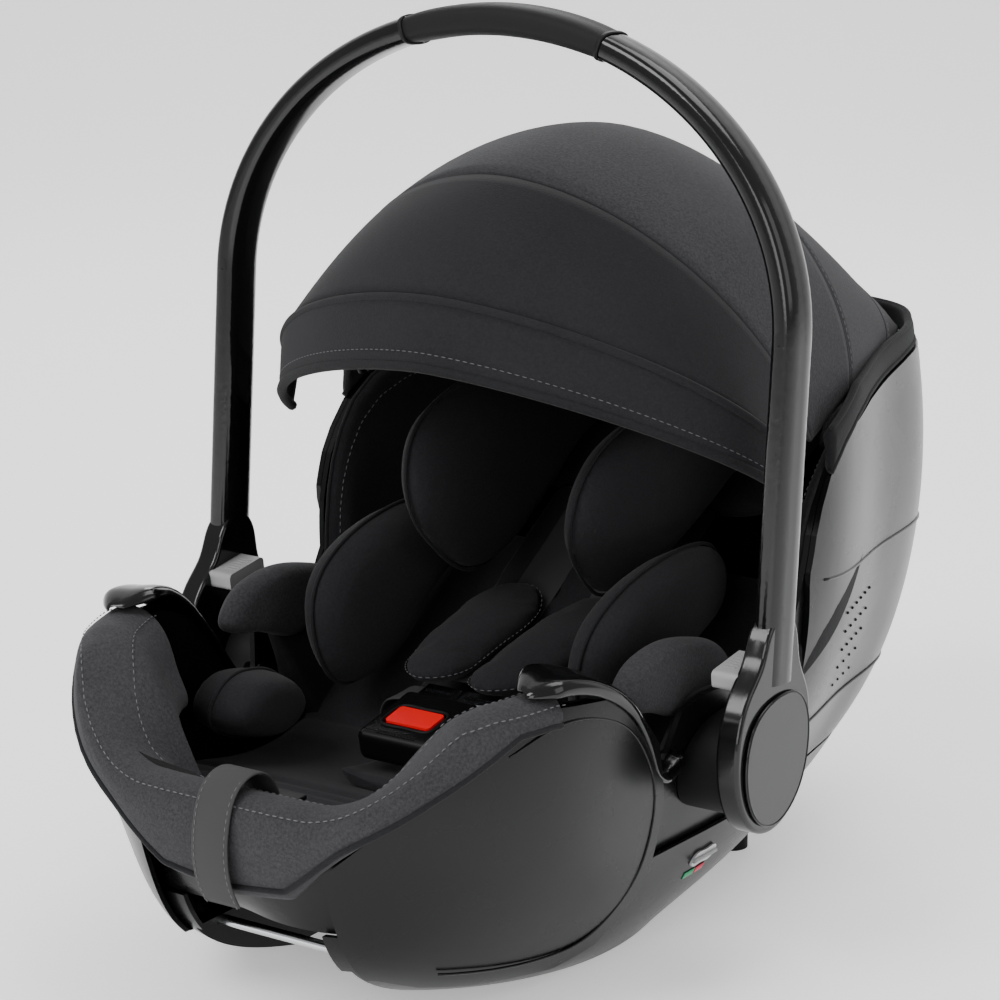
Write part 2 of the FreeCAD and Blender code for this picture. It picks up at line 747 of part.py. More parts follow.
def blend_arch(a, b, share, bulge):
    mix = [p + (q - p) * share for p, q in zip(a, b)]
    lift = 4 * share * (1 - share) * bulge
    spread = (b[0] - a[0], b[1] - a[1])
    size = math.hypot(*spread)
    mix[0] -= lift * spread[1] / size
    mix[1] += lift * spread[0] / size
    return mix


def arch_points(arch, inset, count=17):
    """Points over an arch, inset from its outer face."""
    top_y, top_z, half, foot_y, foot_z, fullness = arch
    rise = math.hypot((top_y - foot_y) * KY, (top_z - foot_z) * KZ)
    scale = (rise - inset) / rise
    points = []
    for i in range(count):
        turn = math.pi * i / (count - 1)
        c, s = math.cos(turn), math.sin(turn)
        x = (half * KX - inset) * math.copysign(abs(c) ** (2 / fullness), c)
        up = max(s, 0) ** (2 / fullness) * scale
        points.append(Vector(x, (foot_y + (top_y - foot_y) * up) * KY,
                             (foot_z + (top_z - foot_z) * up) * KZ))
    return points


def arch_wire(arch, outer, inner):
    edges = []
    over, under = arch_points(arch, outer), arch_points(arch, inner)
    for points in (over, under):
        curve = Part.BSplineCurve()
        curve.interpolate(Points=points)
        edges.append(curve.toShape())
    ends = [Part.makeLine(over[-1], under[-1]), Part.makeLine(under[0], over[0])]
    return Part.Wire(Part.__sortEdges__([edges[0], ends[0], edges[1], ends[1]]))


def canopy_panel(arches):
    return Part.makeLoft([arch_wire(a, 0, val("fabric")) for a in arches], True, False)


def panel_between(a, b, bulge, steps=3):
    edge = 0.012
    shares = [edge + (1 - 2 * edge) * i / steps for i in range(steps + 1)]
    return canopy_panel([blend_arch(a, b, share, bulge) for share in shares])


node("canopy_brim", panel_between(HEM, PIPING, 3))
node("canopy_visor", panel_between(PIPING, FRONT_SEAM, 10))
node("canopy_mid_panel", panel_between(FRONT_SEAM, MID_SEAM, 14))
node("canopy_rear_panel", canopy_panel(
    [blend_arch(MID_SEAM, REAR_SEAM, share, 6) for share in (0.012, 0.35, 0.7)]
    + [REAR_SEAM] + [blend_arch(REAR_SEAM, HEAD_END, share, 6) for share in (0.4, 0.8, 1)]))
HINGE = (84, 262)


def bow(arch):
    """Round bow just inside the canopy."""
    radius = val("bow_dia") / 2
    points = arch_points(arch, val("fabric") + radius + 0.8, 21)
    curve = Part.BSplineCurve()
    curve.interpolate(Points=points)
    path = Part.Wire(curve.toShape())
    start = points[0]
    circle = Part.Wire(Part.makeCircle(radius, start, points[1] - points[0]))
    return path.makePipeShell([circle], True, False)


node("canopy_bow_front", bow(blend_arch(HEM, PIPING, 0.9, 3)))
node("canopy_bow_mid", bow(blend_arch(PIPING, FRONT_SEAM, 0.9, 10)))
node("canopy_bow_rear", bow(blend_arch(FRONT_SEAM, MID_SEAM, 0.9, 14)))

# ---- handle ---------------------------------------------------------------------------

LEG_T, LEG_D = val("leg_thick"), val("leg_depth")
ARCH_X = PIN_X + LEG_T / 2
LEAN = 0.076
ARCH_Z, ARCH_RISE = val("arch_base") * KZ, val("arch_rise") * KZ
PLANE = Vector(0, LEAN, 1).normalize()
ACROSS = Vector(0, 1, -LEAN).normalize()
GRIP_TURN = math.acos(val("grip_half") / ARCH_X)


def handle_point(x, z):
    return Vector(x, -50 * KY + LEAN * (z - 149 * KZ), z)


def handle_station(turn, swell=0):
    """Place and section of the arch; turn 0 is the right leg and 90 degrees the top."""
    rise = ARCH_RISE - LEG_T / 2
    centre = handle_point(ARCH_X * math.cos(turn), ARCH_Z + rise * math.sin(turn))
    out = Vector(math.cos(turn) / ARCH_X, 0, 0) + PLANE * (math.sin(turn) / rise)
    return centre, out.normalize() * (LEG_T / 2 + swell), ACROSS * (LEG_D / 2 + swell)


def handle_leg():
    """One leg with half of the arch, its hub plate and the well for the button."""
    foot = [(handle_point(ARCH_X, z), Vector(LEG_T / 2, 0, 0), ACROSS * (LEG_D / 2))
            for z in (196 * KZ, ARCH_Z)]
    steps = 7
    arch = [handle_station((GRIP_TURN - 0.002) * i / steps) for i in range(steps + 1)]
    leg = ring_tube(foot).fuse(ring_tube(arch))
    plate = [(-58, 100), (-82, 110), (-98, 138), (-98, 172), (-85, 198), (-70, 214),
             (-61, 232), (-44, 242), (-29, 232), (-22, 206), (-12, 186), (-8, 158),
             (-24, 114)]
    hub = rounded(spline_prism(plate, PIN_X, PIN_X + LEG_T - 1.8), 2.5)
    leg = largest(leg.fuse(hub))
    leg = leg.cut(button_shape(val("button_gap"), PIN_X - 5, PIN_X + 12))
    return largest(leg.cut(pin_shape(val("hole_gap"))))


BUTTON = (-58, 203)


def button_shape(extra, x0, x1):
    """Rounded block of a handle button, grown by extra for its well."""
    length, tall = val("button_long") / 2 + extra, val("button_tall") / 2 + extra
    block = box(x0, x1, -length, length, -tall, tall)
    block = rounded(block, tall * 0.6, lambda edge: along_axis(edge, Vector(1, 0, 0)))
    place = Placement(Vector(0, BUTTON[0] * KY, BUTTON[1] * KZ),
                      Rotation(Vector(1, 0, 0), 8))
    return moved(block, place)


pair("handle_leg", handle_leg())
inner_end = PIN_X - 17
pair("handle_button", button_shape(0, inner_end, PIN_X + 12 - val("button_travel") - 1))


def handle_grip():
    steps = 8
    span = math.pi - 2 * GRIP_TURN
    stations = []
    for i in range(steps + 1):
        swell = 1.5 * math.sin(math.pi * i / steps) ** 0.5
        stations.append(handle_station(GRIP_TURN + 0.002 + (span - 0.004) * i / steps, swell))
    return ring_tube(stations)


node("handle_grip", handle_grip())


def hub_cap():
    cover = [(-58, 105), (-78, 114), (-91, 138), (-91, 160), (-82, 178), (-66, 187),
             (-46, 190), (-27, 186), (-16, 174), (-13, 154), (-27, 118)]
    return rounded(spline_prism(cover, PIN_X + LEG_T - 1.5, PIN_X + LEG_T + 0.5), 0.8)


pair("hub_cap", hub_cap())

# ---- check and export -------------------------------------------------------------------

doc.recompute()
os.makedirs("parts", exist_ok=True)
for piece in NODES:
    bad = [word for word in piece.State if word in ("Invalid", "Error")]
    if bad or piece.Shape.isNull() or not piece.Shape.isValid():
        raise RuntimeError("%s did not build: %s" % (piece.Label, piece.State))
for piece in NODES:
    piece.Shape.exportStep("parts/%s.step" % piece.Label)
print("nodes", len(NODES))
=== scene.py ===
import math

import bmesh
import bpy
import numpy as np
from mathutils import Matrix, Vector


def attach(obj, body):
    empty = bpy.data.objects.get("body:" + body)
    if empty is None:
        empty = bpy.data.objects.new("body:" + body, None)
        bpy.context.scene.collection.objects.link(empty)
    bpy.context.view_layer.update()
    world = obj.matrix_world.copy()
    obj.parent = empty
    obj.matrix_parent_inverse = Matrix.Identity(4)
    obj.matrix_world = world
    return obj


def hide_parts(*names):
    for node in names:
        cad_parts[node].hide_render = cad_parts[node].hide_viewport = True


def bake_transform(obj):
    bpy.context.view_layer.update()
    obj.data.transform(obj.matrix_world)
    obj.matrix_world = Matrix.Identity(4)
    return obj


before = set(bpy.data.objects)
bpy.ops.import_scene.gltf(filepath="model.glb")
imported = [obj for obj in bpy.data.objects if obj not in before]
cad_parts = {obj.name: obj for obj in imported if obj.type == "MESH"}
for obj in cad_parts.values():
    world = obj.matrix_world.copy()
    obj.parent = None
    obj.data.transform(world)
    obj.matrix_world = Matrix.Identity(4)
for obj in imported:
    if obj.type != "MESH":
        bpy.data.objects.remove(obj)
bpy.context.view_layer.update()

bl_info = {
    "name": "Infant Carrier Builder",
    "version": (1, 0, 0),
    "blender": (4, 5, 0),
    "location": "View3D > Sidebar > Carrier",
    "description": "Builds the covers, canopy, handle and mouldings of an infant car seat",
    "category": "Object",
}

SIDES = (("right", 1), ("left", -1))
# The camera's aim in metres, its angles in degrees and its distance.
VIEW_TARGET = (0, -0.030, 0.278)
VIEW_AZIMUTH, VIEW_ELEVATION, VIEW_DISTANCE = 34, 15, 2.3

# ---- the shell's shape, in millimetres

# Half outlines of the shell at each height: (across, along) from the foot end round.
OUTLINES = {
    0: [(0, -190), (60, -180), (105, -120), (115, -60), (105, 0), (88, 30), (60, 50), (0, 60)],
    20: [(0, -250), (65, -240), (120, -150), (128, -60), (122, 40), (112, 82), (90, 120), (0, 135)],
    45: [(0, -285), (72, -277), (130, -170), (140, -70), (138, 60),
         (126, 125), (105, 185), (0, 205)],
    75: [(0, -303), (75, -297), (142, -186), (152, -77), (152, 67),
         (137, 152), (112, 232), (0, 250)],
    123: [(0, -322), (80, -313), (158, -200), (165, -90), (170, 75),
          (149, 180), (120, 285), (0, 305)],
    160: [(0, -325), (110, -308), (165, -210), (172, -100), (183, 75),
          (158, 190), (122, 306), (0, 328)],
    210: [(0, -322), (148, -270), (170, -200), (180, -100), (195, 70),
          (165, 195), (124, 320), (0, 341)],
    270: [(0, -305), (150, -250), (173, -190), (185, -90), (198, 70),
          (166, 198), (124, 326), (0, 348)],
    350: [(0, -290), (150, -240), (173, -180), (186, -80), (198, 75),
          (162, 202), (114, 326), (0, 349)],
}
RIM = [(-420, 154), (-315, 154), (-305, 170), (-289, 194), (-279, 210), (-262, 216),
       (-225, 218), (-180, 212), (-150, 200), (-128, 176), (-112, 148), (-98, 140),
       (-88, 150), (-80, 178), (-60, 184), (-20, 184), (10, 190), (24, 204), (30, 235),
       (40, 268), (49, 285), (63, 303), (85, 318), (112, 328), (150, 334), (205, 337),
       (262, 340), (420, 341)]
FLOOR = [(-420, 122), (-300, 122), (-250, 116), (-200, 104), (-150, 92), (-110, 88),
         (-70, 92), (-30, 108), (0, 122), (60, 160), (120, 198), (180, 232), (240, 262),
         (290, 286), (330, 304), (420, 330)]
BUMPER_LINE = [(0, 92), (45, 99), (69, 122), (100, 149), (130, 179), (150, 202),
               (163, 217), (175, 232), (260, 240)]
SPAN = 30


def line_at(line, place):
    xs, ys = zip(*line)
    return np.interp(place, xs, ys)


def closed_spline(points, span=SPAN):
    """Samples of the smooth closed curve through points."""
    p = np.asarray(points, float)
    n = len(p)
    h = np.linalg.norm(np.roll(p, -1, 0) - p, axis=1)
    a = np.zeros((n, n))
    rhs = np.zeros_like(p)
    for i in range(n):
        before, after = h[i - 1], h[i]
        a[i, i - 1] += before
        a[i, i] += 2 * (before + after)
        a[i, (i + 1) % n] += after
        rhs[i] = 6 * ((p[(i + 1) % n] - p[i]) / after - (p[i] - p[i - 1]) / before)
    m = np.linalg.solve(a, rhs)
    out = []
    for i in range(n):
        j, step = (i + 1) % n, h[i]
        for t in np.arange(span) / span * step:
            r = step - t
            out.append(m[i] * r ** 3 / (6 * step) + m[j] * t ** 3 / (6 * step)
                       + (p[i] / step - m[i] * step / 6) * r
                       + (p[j] / step - m[j] * step / 6) * t)
    return np.array(out)


def open_spline(points, count):
    """Samples of a smooth open curve through points, evenly spaced in its parameter."""
    p = np.asarray(points, float)
    d = np.r_[0, np.cumsum(np.linalg.norm(np.diff(p, axis=0), axis=1))]
    return natural(d, p, np.linspace(0, d[-1], count))


def natural(x, y, at):
    """Natural cubic spline through (x, y), at new places."""
    x, y, at = np.asarray(x, float), np.asarray(y, float), np.asarray(at, float)
    n, h = len(x), np.diff(x)
    a = np.eye(n)
    rhs = np.zeros_like(y)
    for i in range(1, n - 1):
        a[i, i - 1:i + 2] = h[i - 1], 2 * (h[i - 1] + h[i]), h[i]
        rhs[i] = 6 * ((y[i + 1] - y[i]) / h[i] - (y[i] - y[i - 1]) / h[i - 1])
    m = np.linalg.solve(a, rhs)
    i = np.clip(np.searchsorted(x, at) - 1, 0, n - 2)
    shape = (-1,) + (1,) * (y.ndim - 1)
    t, r, s = (at - x[i]).reshape(shape), (x[i + 1] - at).reshape(shape), h[i].reshape(shape)
    return (m[i] * r ** 3 / (6 * s) + m[i + 1] * t ** 3 / (6 * s)
            + (y[i] / s - m[i] * s / 6) * r + (y[i + 1] / s - m[i + 1] * s / 6) * t)


HEIGHTS = sorted(OUTLINES)
TOP = HEIGHTS[-1]
RINGS = np.array([closed_spline(half + [(-x, y) for x, y in reversed(half[1:-1])])
                  for half in (OUTLINES[height] for height in HEIGHTS)])
AROUND = RINGS.shape[1]
TABLE = natural(HEIGHTS, RINGS.reshape(len(HEIGHTS), -1), np.arange(0, TOP + 1.0))
TABLE = TABLE.reshape(TOP + 1, AROUND, 2)


def shell(column, height, offset=0.0):
    """Points on the shell: column counts round from the foot end, offset is outwards."""
    column, height, offset = np.broadcast_arrays(
        np.asarray(column, float), np.asarray(height, float), np.asarray(offset, float))
    high = np.clip(height, 0, TOP - 0.001)
    row, part = high.astype(int), (high - high.astype(int))[..., None]
    first = np.floor(column).astype(int)
    share = (column - first)[..., None]

    def ring(k):
        k = k % AROUND
        return TABLE[row, k] * (1 - part) + TABLE[row + 1, k] * part

    place = ring(first) * (1 - share) + ring(first + 1) * share
    run = ring(first + 2) - ring(first - 1)
    run /= np.linalg.norm(run, axis=-1)[..., None]
    x = place[..., 0] + run[..., 1] * offset
    y = place[..., 1] - run[..., 0] * offset
    return np.stack([x, y, height], -1)


def column_at(y, z):
    """Column on the right side where the shell passes a place along the seat."""
    half = AROUND // 2
    ys = TABLE[int(z), :half + 1, 1]
    return float(np.interp(y, ys, np.arange(half + 1)))


# ---- meshes

def make_mesh(name, points, faces, material=None, smooth=True):
    """Object with its place in its mesh; points in millimetres."""
    mesh = bpy.data.meshes.new(name)
    mesh.from_pydata([tuple(p) for p in np.asarray(points, float) / 1000], [], faces)
    mesh.validate()
    tidy_mesh(mesh)
    mesh.polygons.foreach_set("use_smooth", [smooth] * len(mesh.polygons))
    obj = bpy.data.objects.new(name, mesh)
    bpy.context.scene.collection.objects.link(obj)
    if material:
        mesh.materials.append(material)
    return obj


def tidy_mesh(mesh):
    work = bmesh.new()
    work.from_mesh(mesh)
    bmesh.ops.remove_doubles(work, verts=work.verts, dist=1e-6)
    bmesh.ops.recalc_face_normals(work, faces=work.faces)
    work.to_mesh(mesh)
    work.free()


def grid_faces(rows, columns, close_rows=False, close_columns=False):
    faces = []
    for i in range(rows if close_rows else rows - 1):
        for j in range(columns if close_columns else columns - 1):
            a, b = i * columns + j, i * columns + (j + 1) % columns
            c, d = (i + 1) % rows * columns + (j + 1) % columns, (i + 1) % rows * columns + j
            faces.append((a, b, c, d))
    return faces


def grid(name, points, material, close_rows=False, close_columns=False, caps=False):
    """Surface over a rows by columns array of points."""
    points = np.asarray(points, float)
    rows, columns = points.shape[:2]
    faces = grid_faces(rows, columns, close_rows, close_columns)
    flat = points.reshape(-1, 3)
    if caps:
        faces.append(tuple(range(columns)))
        faces.append(tuple(reversed(range((rows - 1) * columns, rows * columns))))
    return make_mesh(name, flat, faces, material)


def finish_mesh(obj, thickness=0.0, offset=-1.0, bevel=0.0, levels=0):
    """Solidify, bevel and subdivide, all applied."""
    if thickness:
        mod = obj.modifiers.new("thickness", "SOLIDIFY")
        mod.thickness, mod.offset, mod.use_even_offset = thickness / 1000, offset, True
    if bevel:
        mod = obj.modifiers.new("edge", "BEVEL")
        mod.width, mod.segments, mod.limit_method = bevel / 1000, 2, "ANGLE"
        mod.angle_limit = math.radians(40)
    if levels:
        mod = obj.modifiers.new("smooth", "SUBSURF")
        mod.levels = mod.render_levels = levels
    return apply_modifiers(obj)


def apply_modifiers(obj):
    depsgraph = bpy.context.evaluated_depsgraph_get()
    mesh = bpy.data.meshes.new_from_object(obj.evaluated_get(depsgraph))
    old = obj.data
    obj.modifiers.clear()
    obj.data = mesh
    mesh.name = old.name
    mesh.polygons.foreach_set("use_smooth", [True] * len(mesh.polygons))
    bpy.data.meshes.remove(old)
    return obj


def mirror_copy(obj, name):
    mesh = obj.data.copy()
    mesh.transform(Matrix.Scale(-1, 4, (1, 0, 0)))
    mesh.flip_normals()
    twin = bpy.data.objects.new(name, mesh)
    bpy.context.scene.collection.objects.link(twin)
    return twin


def tube(name, path, radius, material, sides=8, closed=False):
    """Round cord of fabric or wire along a path of points."""
    path = np.asarray(path, float)
    n = len(path)
    ahead, behind = np.roll(path, -1, 0), np.roll(path, 1, 0)
    if not closed:
        ahead[-1], behind[0] = path[-1], path[0]
    run = ahead - behind
    run /= np.linalg.norm(run, axis=1)[:, None]
    normal = np.cross(run[0], (0.3, 0.2, 0.9))
    rings = []
    for i in range(n):
        normal = normal - run[i] * normal.dot(run[i])
        normal /= np.linalg.norm(normal)
        side = np.cross(run[i], normal)
        turns = np.arange(sides) / sides * 2 * math.pi
        r = radius if np.isscalar(radius) else radius[i]
        rings.append(path[i] + r * (np.cos(turns)[:, None] * normal
                                    + np.sin(turns)[:, None] * side))
    return grid(name, rings, material, close_rows=closed, close_columns=True,
                caps=not closed)


def side_cords(name, path, radius, look, body, sides=8, closed=False):
    """The same round cord on the right and the left side."""
    for side, sign in SIDES:
        cord = tube(name + "_" + side, np.asarray(path) * (sign, 1, 1), radius, finish(look),
                    sides, closed)
        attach(cord, body)


def section_sweep(name, path, outs, acrosses, section, material):
    """Sweep of a closed section (out, across) along a path, closed at both ends."""
    rings = []
    for centre, out, across in zip(path, outs, acrosses):
        rings.append([centre + out * a + across * b for a, b in section])
    return grid(name, rings, material, close_columns=True, caps=True)


def cushion(name, outline, place, half, material, side_wall=0.35, fullness=0.5, rows=15,
            levels=1):
    """Closed crowned pad: a smooth outline in two directions, put in place by a function
    of (a, b, height) where height runs from -half to half."""
    edge = closed_spline(outline, 8)
    centre = edge.mean(0)
    rings = []
    for turn in np.linspace(-math.pi / 2, math.pi / 2, rows):
        share = max(math.cos(turn), 0.02) ** fullness
        wall = np.clip(turn / 0.9, -1, 1)
        height = half * ((1 - side_wall) * math.sin(turn) + side_wall * wall)
        rings.append([place(a, b, height) for a, b in centre + (edge - centre) * share])
    obj = grid(name, rings, material, close_columns=True, caps=True)
    return finish_mesh(obj, levels=levels)


def edge_path(outline, place, height, grow=0.0):
    """Path round a cushion's outline, grown outwards a little."""
    edge = closed_spline(outline, 10)
    centre = edge.mean(0)
    out = edge - centre
    out = centre + out * (1 + grow / np.linalg.norm(out, axis=1))[:, None]
    return np.array([place(a, b, height) for a, b in out])


def puff(obj, cap, voxel=0.005, pressure=4.0):
    """Blow a pad up like stuffed cloth, keeping each point within cap of its place."""
    scene = bpy.context.scene
    bpy.context.view_layer.objects.active = obj
    mod = obj.modifiers.new("remesh", "REMESH")
    mod.mode, mod.voxel_size = "VOXEL", voxel
    apply_modifiers(obj)
    before = np.array([v.co for v in obj.data.vertices])
    mod = obj.modifiers.new("cloth", "CLOTH")
    mod.settings.use_pressure = True
    mod.settings.uniform_pressure_force = pressure
    mod.settings.effector_weights.gravity = 0
    mod.settings.quality = 4
    mod.point_cache.frame_start, mod.point_cache.frame_end = 1, 20
    for number in range(1, 21):
        scene.frame_set(number)
    apply_modifiers(obj)
    after = np.array([v.co for v in obj.data.vertices])
    move = after - before
    size = np.linalg.norm(move, axis=1)
    limit = cap / 1000
    scale = np.where(size > limit, limit / np.maximum(size, 1e-9), 1.0)
    obj.data.vertices.foreach_set("co", (before + move * scale[:, None]).ravel())
    scene.frame_set(1)
    return finish_mesh(obj, levels=1)


# ---- finishes

def group_tree(name, inputs, outputs):
    tree = bpy.data.node_groups.new(name, "ShaderNodeTree")
    for label, kind, value in inputs:
        socket = tree.interface.new_socket(label, in_out="INPUT", socket_type=kind)
        socket.default_value = value
    for label, kind in outputs:
        tree.interface.new_socket(label, in_out="OUTPUT", socket_type=kind)
    return tree, tree.nodes.new("NodeGroupInput"), tree.nodes.new("NodeGroupOutput")


def add(tree, kind, **values):
    node = tree.nodes.new(kind)
    for key, value in values.items():
        if hasattr(node, key):
            setattr(node, key, value)
        else:
            node.inputs[key].default_value = value
    return node


def maths(tree, operation, a, b=None):
    node = tree.nodes.new("ShaderNodeMath")
    node.operation = operation
    for index, value in enumerate((a, b)):
        if value is None:
            continue
        if isinstance(value, (int, float)):
            node.inputs[index].default_value = value
        else:
            tree.links.new(value, node.inputs[index])
    return node.outputs[0]


def mix_colours(tree, share, first, second, blend="MIX"):
    """Mix of two colour sockets; share is a socket or a number."""
    mix = tree.nodes.new("ShaderNodeMix")
    mix.data_type, mix.blend_type = "RGBA", blend
    if isinstance(share, float):
        mix.inputs[0].default_value = share
    else:
        tree.links.new(share, mix.inputs[0])
    tree.links.new(first, mix.inputs[6])
    tree.links.new(second, mix.inputs[7])
    return mix.outputs[2]


def knit_group():
    """Melange knit: two yarn colours, fine stitches and a slow shade change."""
    if "melange knit" in bpy.data.node_groups:
        return bpy.data.node_groups["melange knit"]
    tree, start, end = group_tree(
        "melange knit",
        [("Dark yarn", "NodeSocketColor", (0.02, 0.02, 0.02, 1)),
         ("Light yarn", "NodeSocketColor", (0.1, 0.1, 0.1, 1)),
         ("Stitches per metre", "NodeSocketFloat", 900.0),
         ("Melange", "NodeSocketFloat", 0.5)],
        [("Color", "NodeSocketColor"), ("Roughness", "NodeSocketFloat"),
         ("Height", "NodeSocketFloat")])
    links = tree.links
    where = add(tree, "ShaderNodeTexCoord").outputs["Object"]
    yarn = add(tree, "ShaderNodeTexNoise", **{"Detail": 2.0, "Roughness": 0.7})
    links.new(where, yarn.inputs["Vector"])
    links.new(maths(tree, "MULTIPLY", start.outputs["Stitches per metre"], 0.55),
              yarn.inputs["Scale"])
    cells = add(tree, "ShaderNodeTexVoronoi")
    links.new(where, cells.inputs["Vector"])
    links.new(start.outputs["Stitches per metre"], cells.inputs["Scale"])
    slow = add(tree, "ShaderNodeTexNoise", **{"Scale": 14.0, "Detail": 2.0})
    links.new(where, slow.inputs["Vector"])
    spread = maths(tree, "MULTIPLY", maths(tree, "SUBTRACT", yarn.outputs["Fac"], 0.5),
                   maths(tree, "MULTIPLY", start.outputs["Melange"], 3.2))
    mixed = maths(tree, "ADD", maths(tree, "ADD", spread, 0.45),
                  maths(tree, "MULTIPLY", maths(tree, "SUBTRACT", slow.outputs["Fac"], 0.5),
                        0.35))
    factor = add(tree, "ShaderNodeClamp")
    links.new(mixed, factor.inputs["Value"])
    links.new(mix_colours(tree, factor.outputs[0], start.outputs["Dark yarn"],
                          start.outputs["Light yarn"]), end.inputs["Color"])
    height = maths(tree, "SUBTRACT", 1.0, cells.outputs["Distance"])
    links.new(maths(tree, "ADD", height, maths(tree, "MULTIPLY", yarn.outputs["Fac"], 0.4)),
              end.inputs["Height"])
    links.new(maths(tree, "ADD", maths(tree, "MULTIPLY", yarn.outputs["Fac"], 0.12), 0.82),
              end.inputs["Roughness"])
    return tree


def grain_group():
    """Moulded plastic: fine leather-like grain and a slow change in shine."""
    if "moulded grain" in bpy.data.node_groups:
        return bpy.data.node_groups["moulded grain"]
    tree, start, end = group_tree(
        "moulded grain",
        [("Base", "NodeSocketColor", (0.02, 0.02, 0.02, 1)),
         ("Grain per metre", "NodeSocketFloat", 1600.0),
         ("Shine low", "NodeSocketFloat", 0.35),
         ("Shine high", "NodeSocketFloat", 0.45)],
        [("Color", "NodeSocketColor"), ("Roughness", "NodeSocketFloat"),
         ("Height", "NodeSocketFloat")])
    links = tree.links
    where = add(tree, "ShaderNodeTexCoord").outputs["Object"]
    grain = add(tree, "ShaderNodeTexVoronoi")
    links.new(where, grain.inputs["Vector"])
    links.new(start.outputs["Grain per metre"], grain.inputs["Scale"])
    slow = add(tree, "ShaderNodeTexNoise", **{"Scale": 18.0, "Detail": 3.0})
    links.new(where, slow.inputs["Vector"])
    span = maths(tree, "SUBTRACT", start.outputs["Shine high"], start.outputs["Shine low"])
    rough = maths(tree, "ADD", start.outputs["Shine low"],
                  maths(tree, "MULTIPLY", span, slow.outputs["Fac"]))
    links.new(rough, end.inputs["Roughness"])
    links.new(grain.outputs["Distance"], end.inputs["Height"])
    links.new(mix_colours(tree, 0.25, start.outputs["Base"], slow.outputs["Fac"], "MULTIPLY"),
              end.inputs["Color"])
    return tree


def webbing_group():
    """Woven belt: ribs across the strap and a diagonal fleck."""
    if "belt weave" in bpy.data.node_groups:
        return bpy.data.node_groups["belt weave"]
    tree, start, end = group_tree(
        "belt weave",
        [("Dark", "NodeSocketColor", (0.01, 0.01, 0.01, 1)),
         ("Light", "NodeSocketColor", (0.05, 0.05, 0.05, 1)),
         ("Ribs per metre", "NodeSocketFloat", 420.0)],
        [("Color", "NodeSocketColor"), ("Height", "NodeSocketFloat")])
    links = tree.links
    where = add(tree, "ShaderNodeTexCoord").outputs["Object"]
    apart = tree.nodes.new("ShaderNodeSeparateXYZ")
    links.new(where, apart.inputs[0])
    turn = maths(tree, "MULTIPLY", start.outputs["Ribs per metre"], 6.283)
    along = maths(tree, "ADD", apart.outputs["Y"], apart.outputs["Z"])
    ribs = maths(tree, "SINE", maths(tree, "MULTIPLY", along, turn))
    cross = maths(tree, "SINE", maths(tree, "MULTIPLY", apart.outputs["X"], turn))
    both = maths(tree, "MULTIPLY", ribs, cross)
    share = maths(tree, "ADD", maths(tree, "MULTIPLY", both, 0.5), 0.5)
    links.new(mix_colours(tree, share, start.outputs["Dark"], start.outputs["Light"]),
              end.inputs["Color"])
    links.new(maths(tree, "ADD", ribs, maths(tree, "MULTIPLY", cross, 0.5)),
              end.inputs["Height"])
    return tree


def new_finish(name, group, values, bump, distance, **constants):
    """Material that takes its colour, roughness and bump from a node group."""
    if name in bpy.data.materials:
        return bpy.data.materials[name]
    material = bpy.data.materials.new(name)
    material.use_nodes = True
    tree = material.node_tree
    shader = tree.nodes["Principled BSDF"]
    source = tree.nodes.new("ShaderNodeGroup")
    source.node_tree = group
    for key, value in values.items():
        source.inputs[key].default_value = value
    tree.links.new(source.outputs["Color"], shader.inputs["Base Color"])
    if "Roughness" in source.outputs:
        tree.links.new(source.outputs["Roughness"], shader.inputs["Roughness"])
    relief = tree.nodes.new("ShaderNodeBump")
    relief.inputs["Strength"].default_value = bump
    relief.inputs["Distance"].default_value = distance
    tree.links.new(source.outputs["Height"], relief.inputs["Height"])
    tree.links.new(relief.outputs["Normal"], shader.inputs["Normal"])
    for key, value in constants.items():
        shader.inputs[key.replace("_", " ")].default_value = value
    return material


def shade(colour, factor=1.0):
    return (colour[0] * factor, colour[1] * factor, colour[2] * factor, 1)


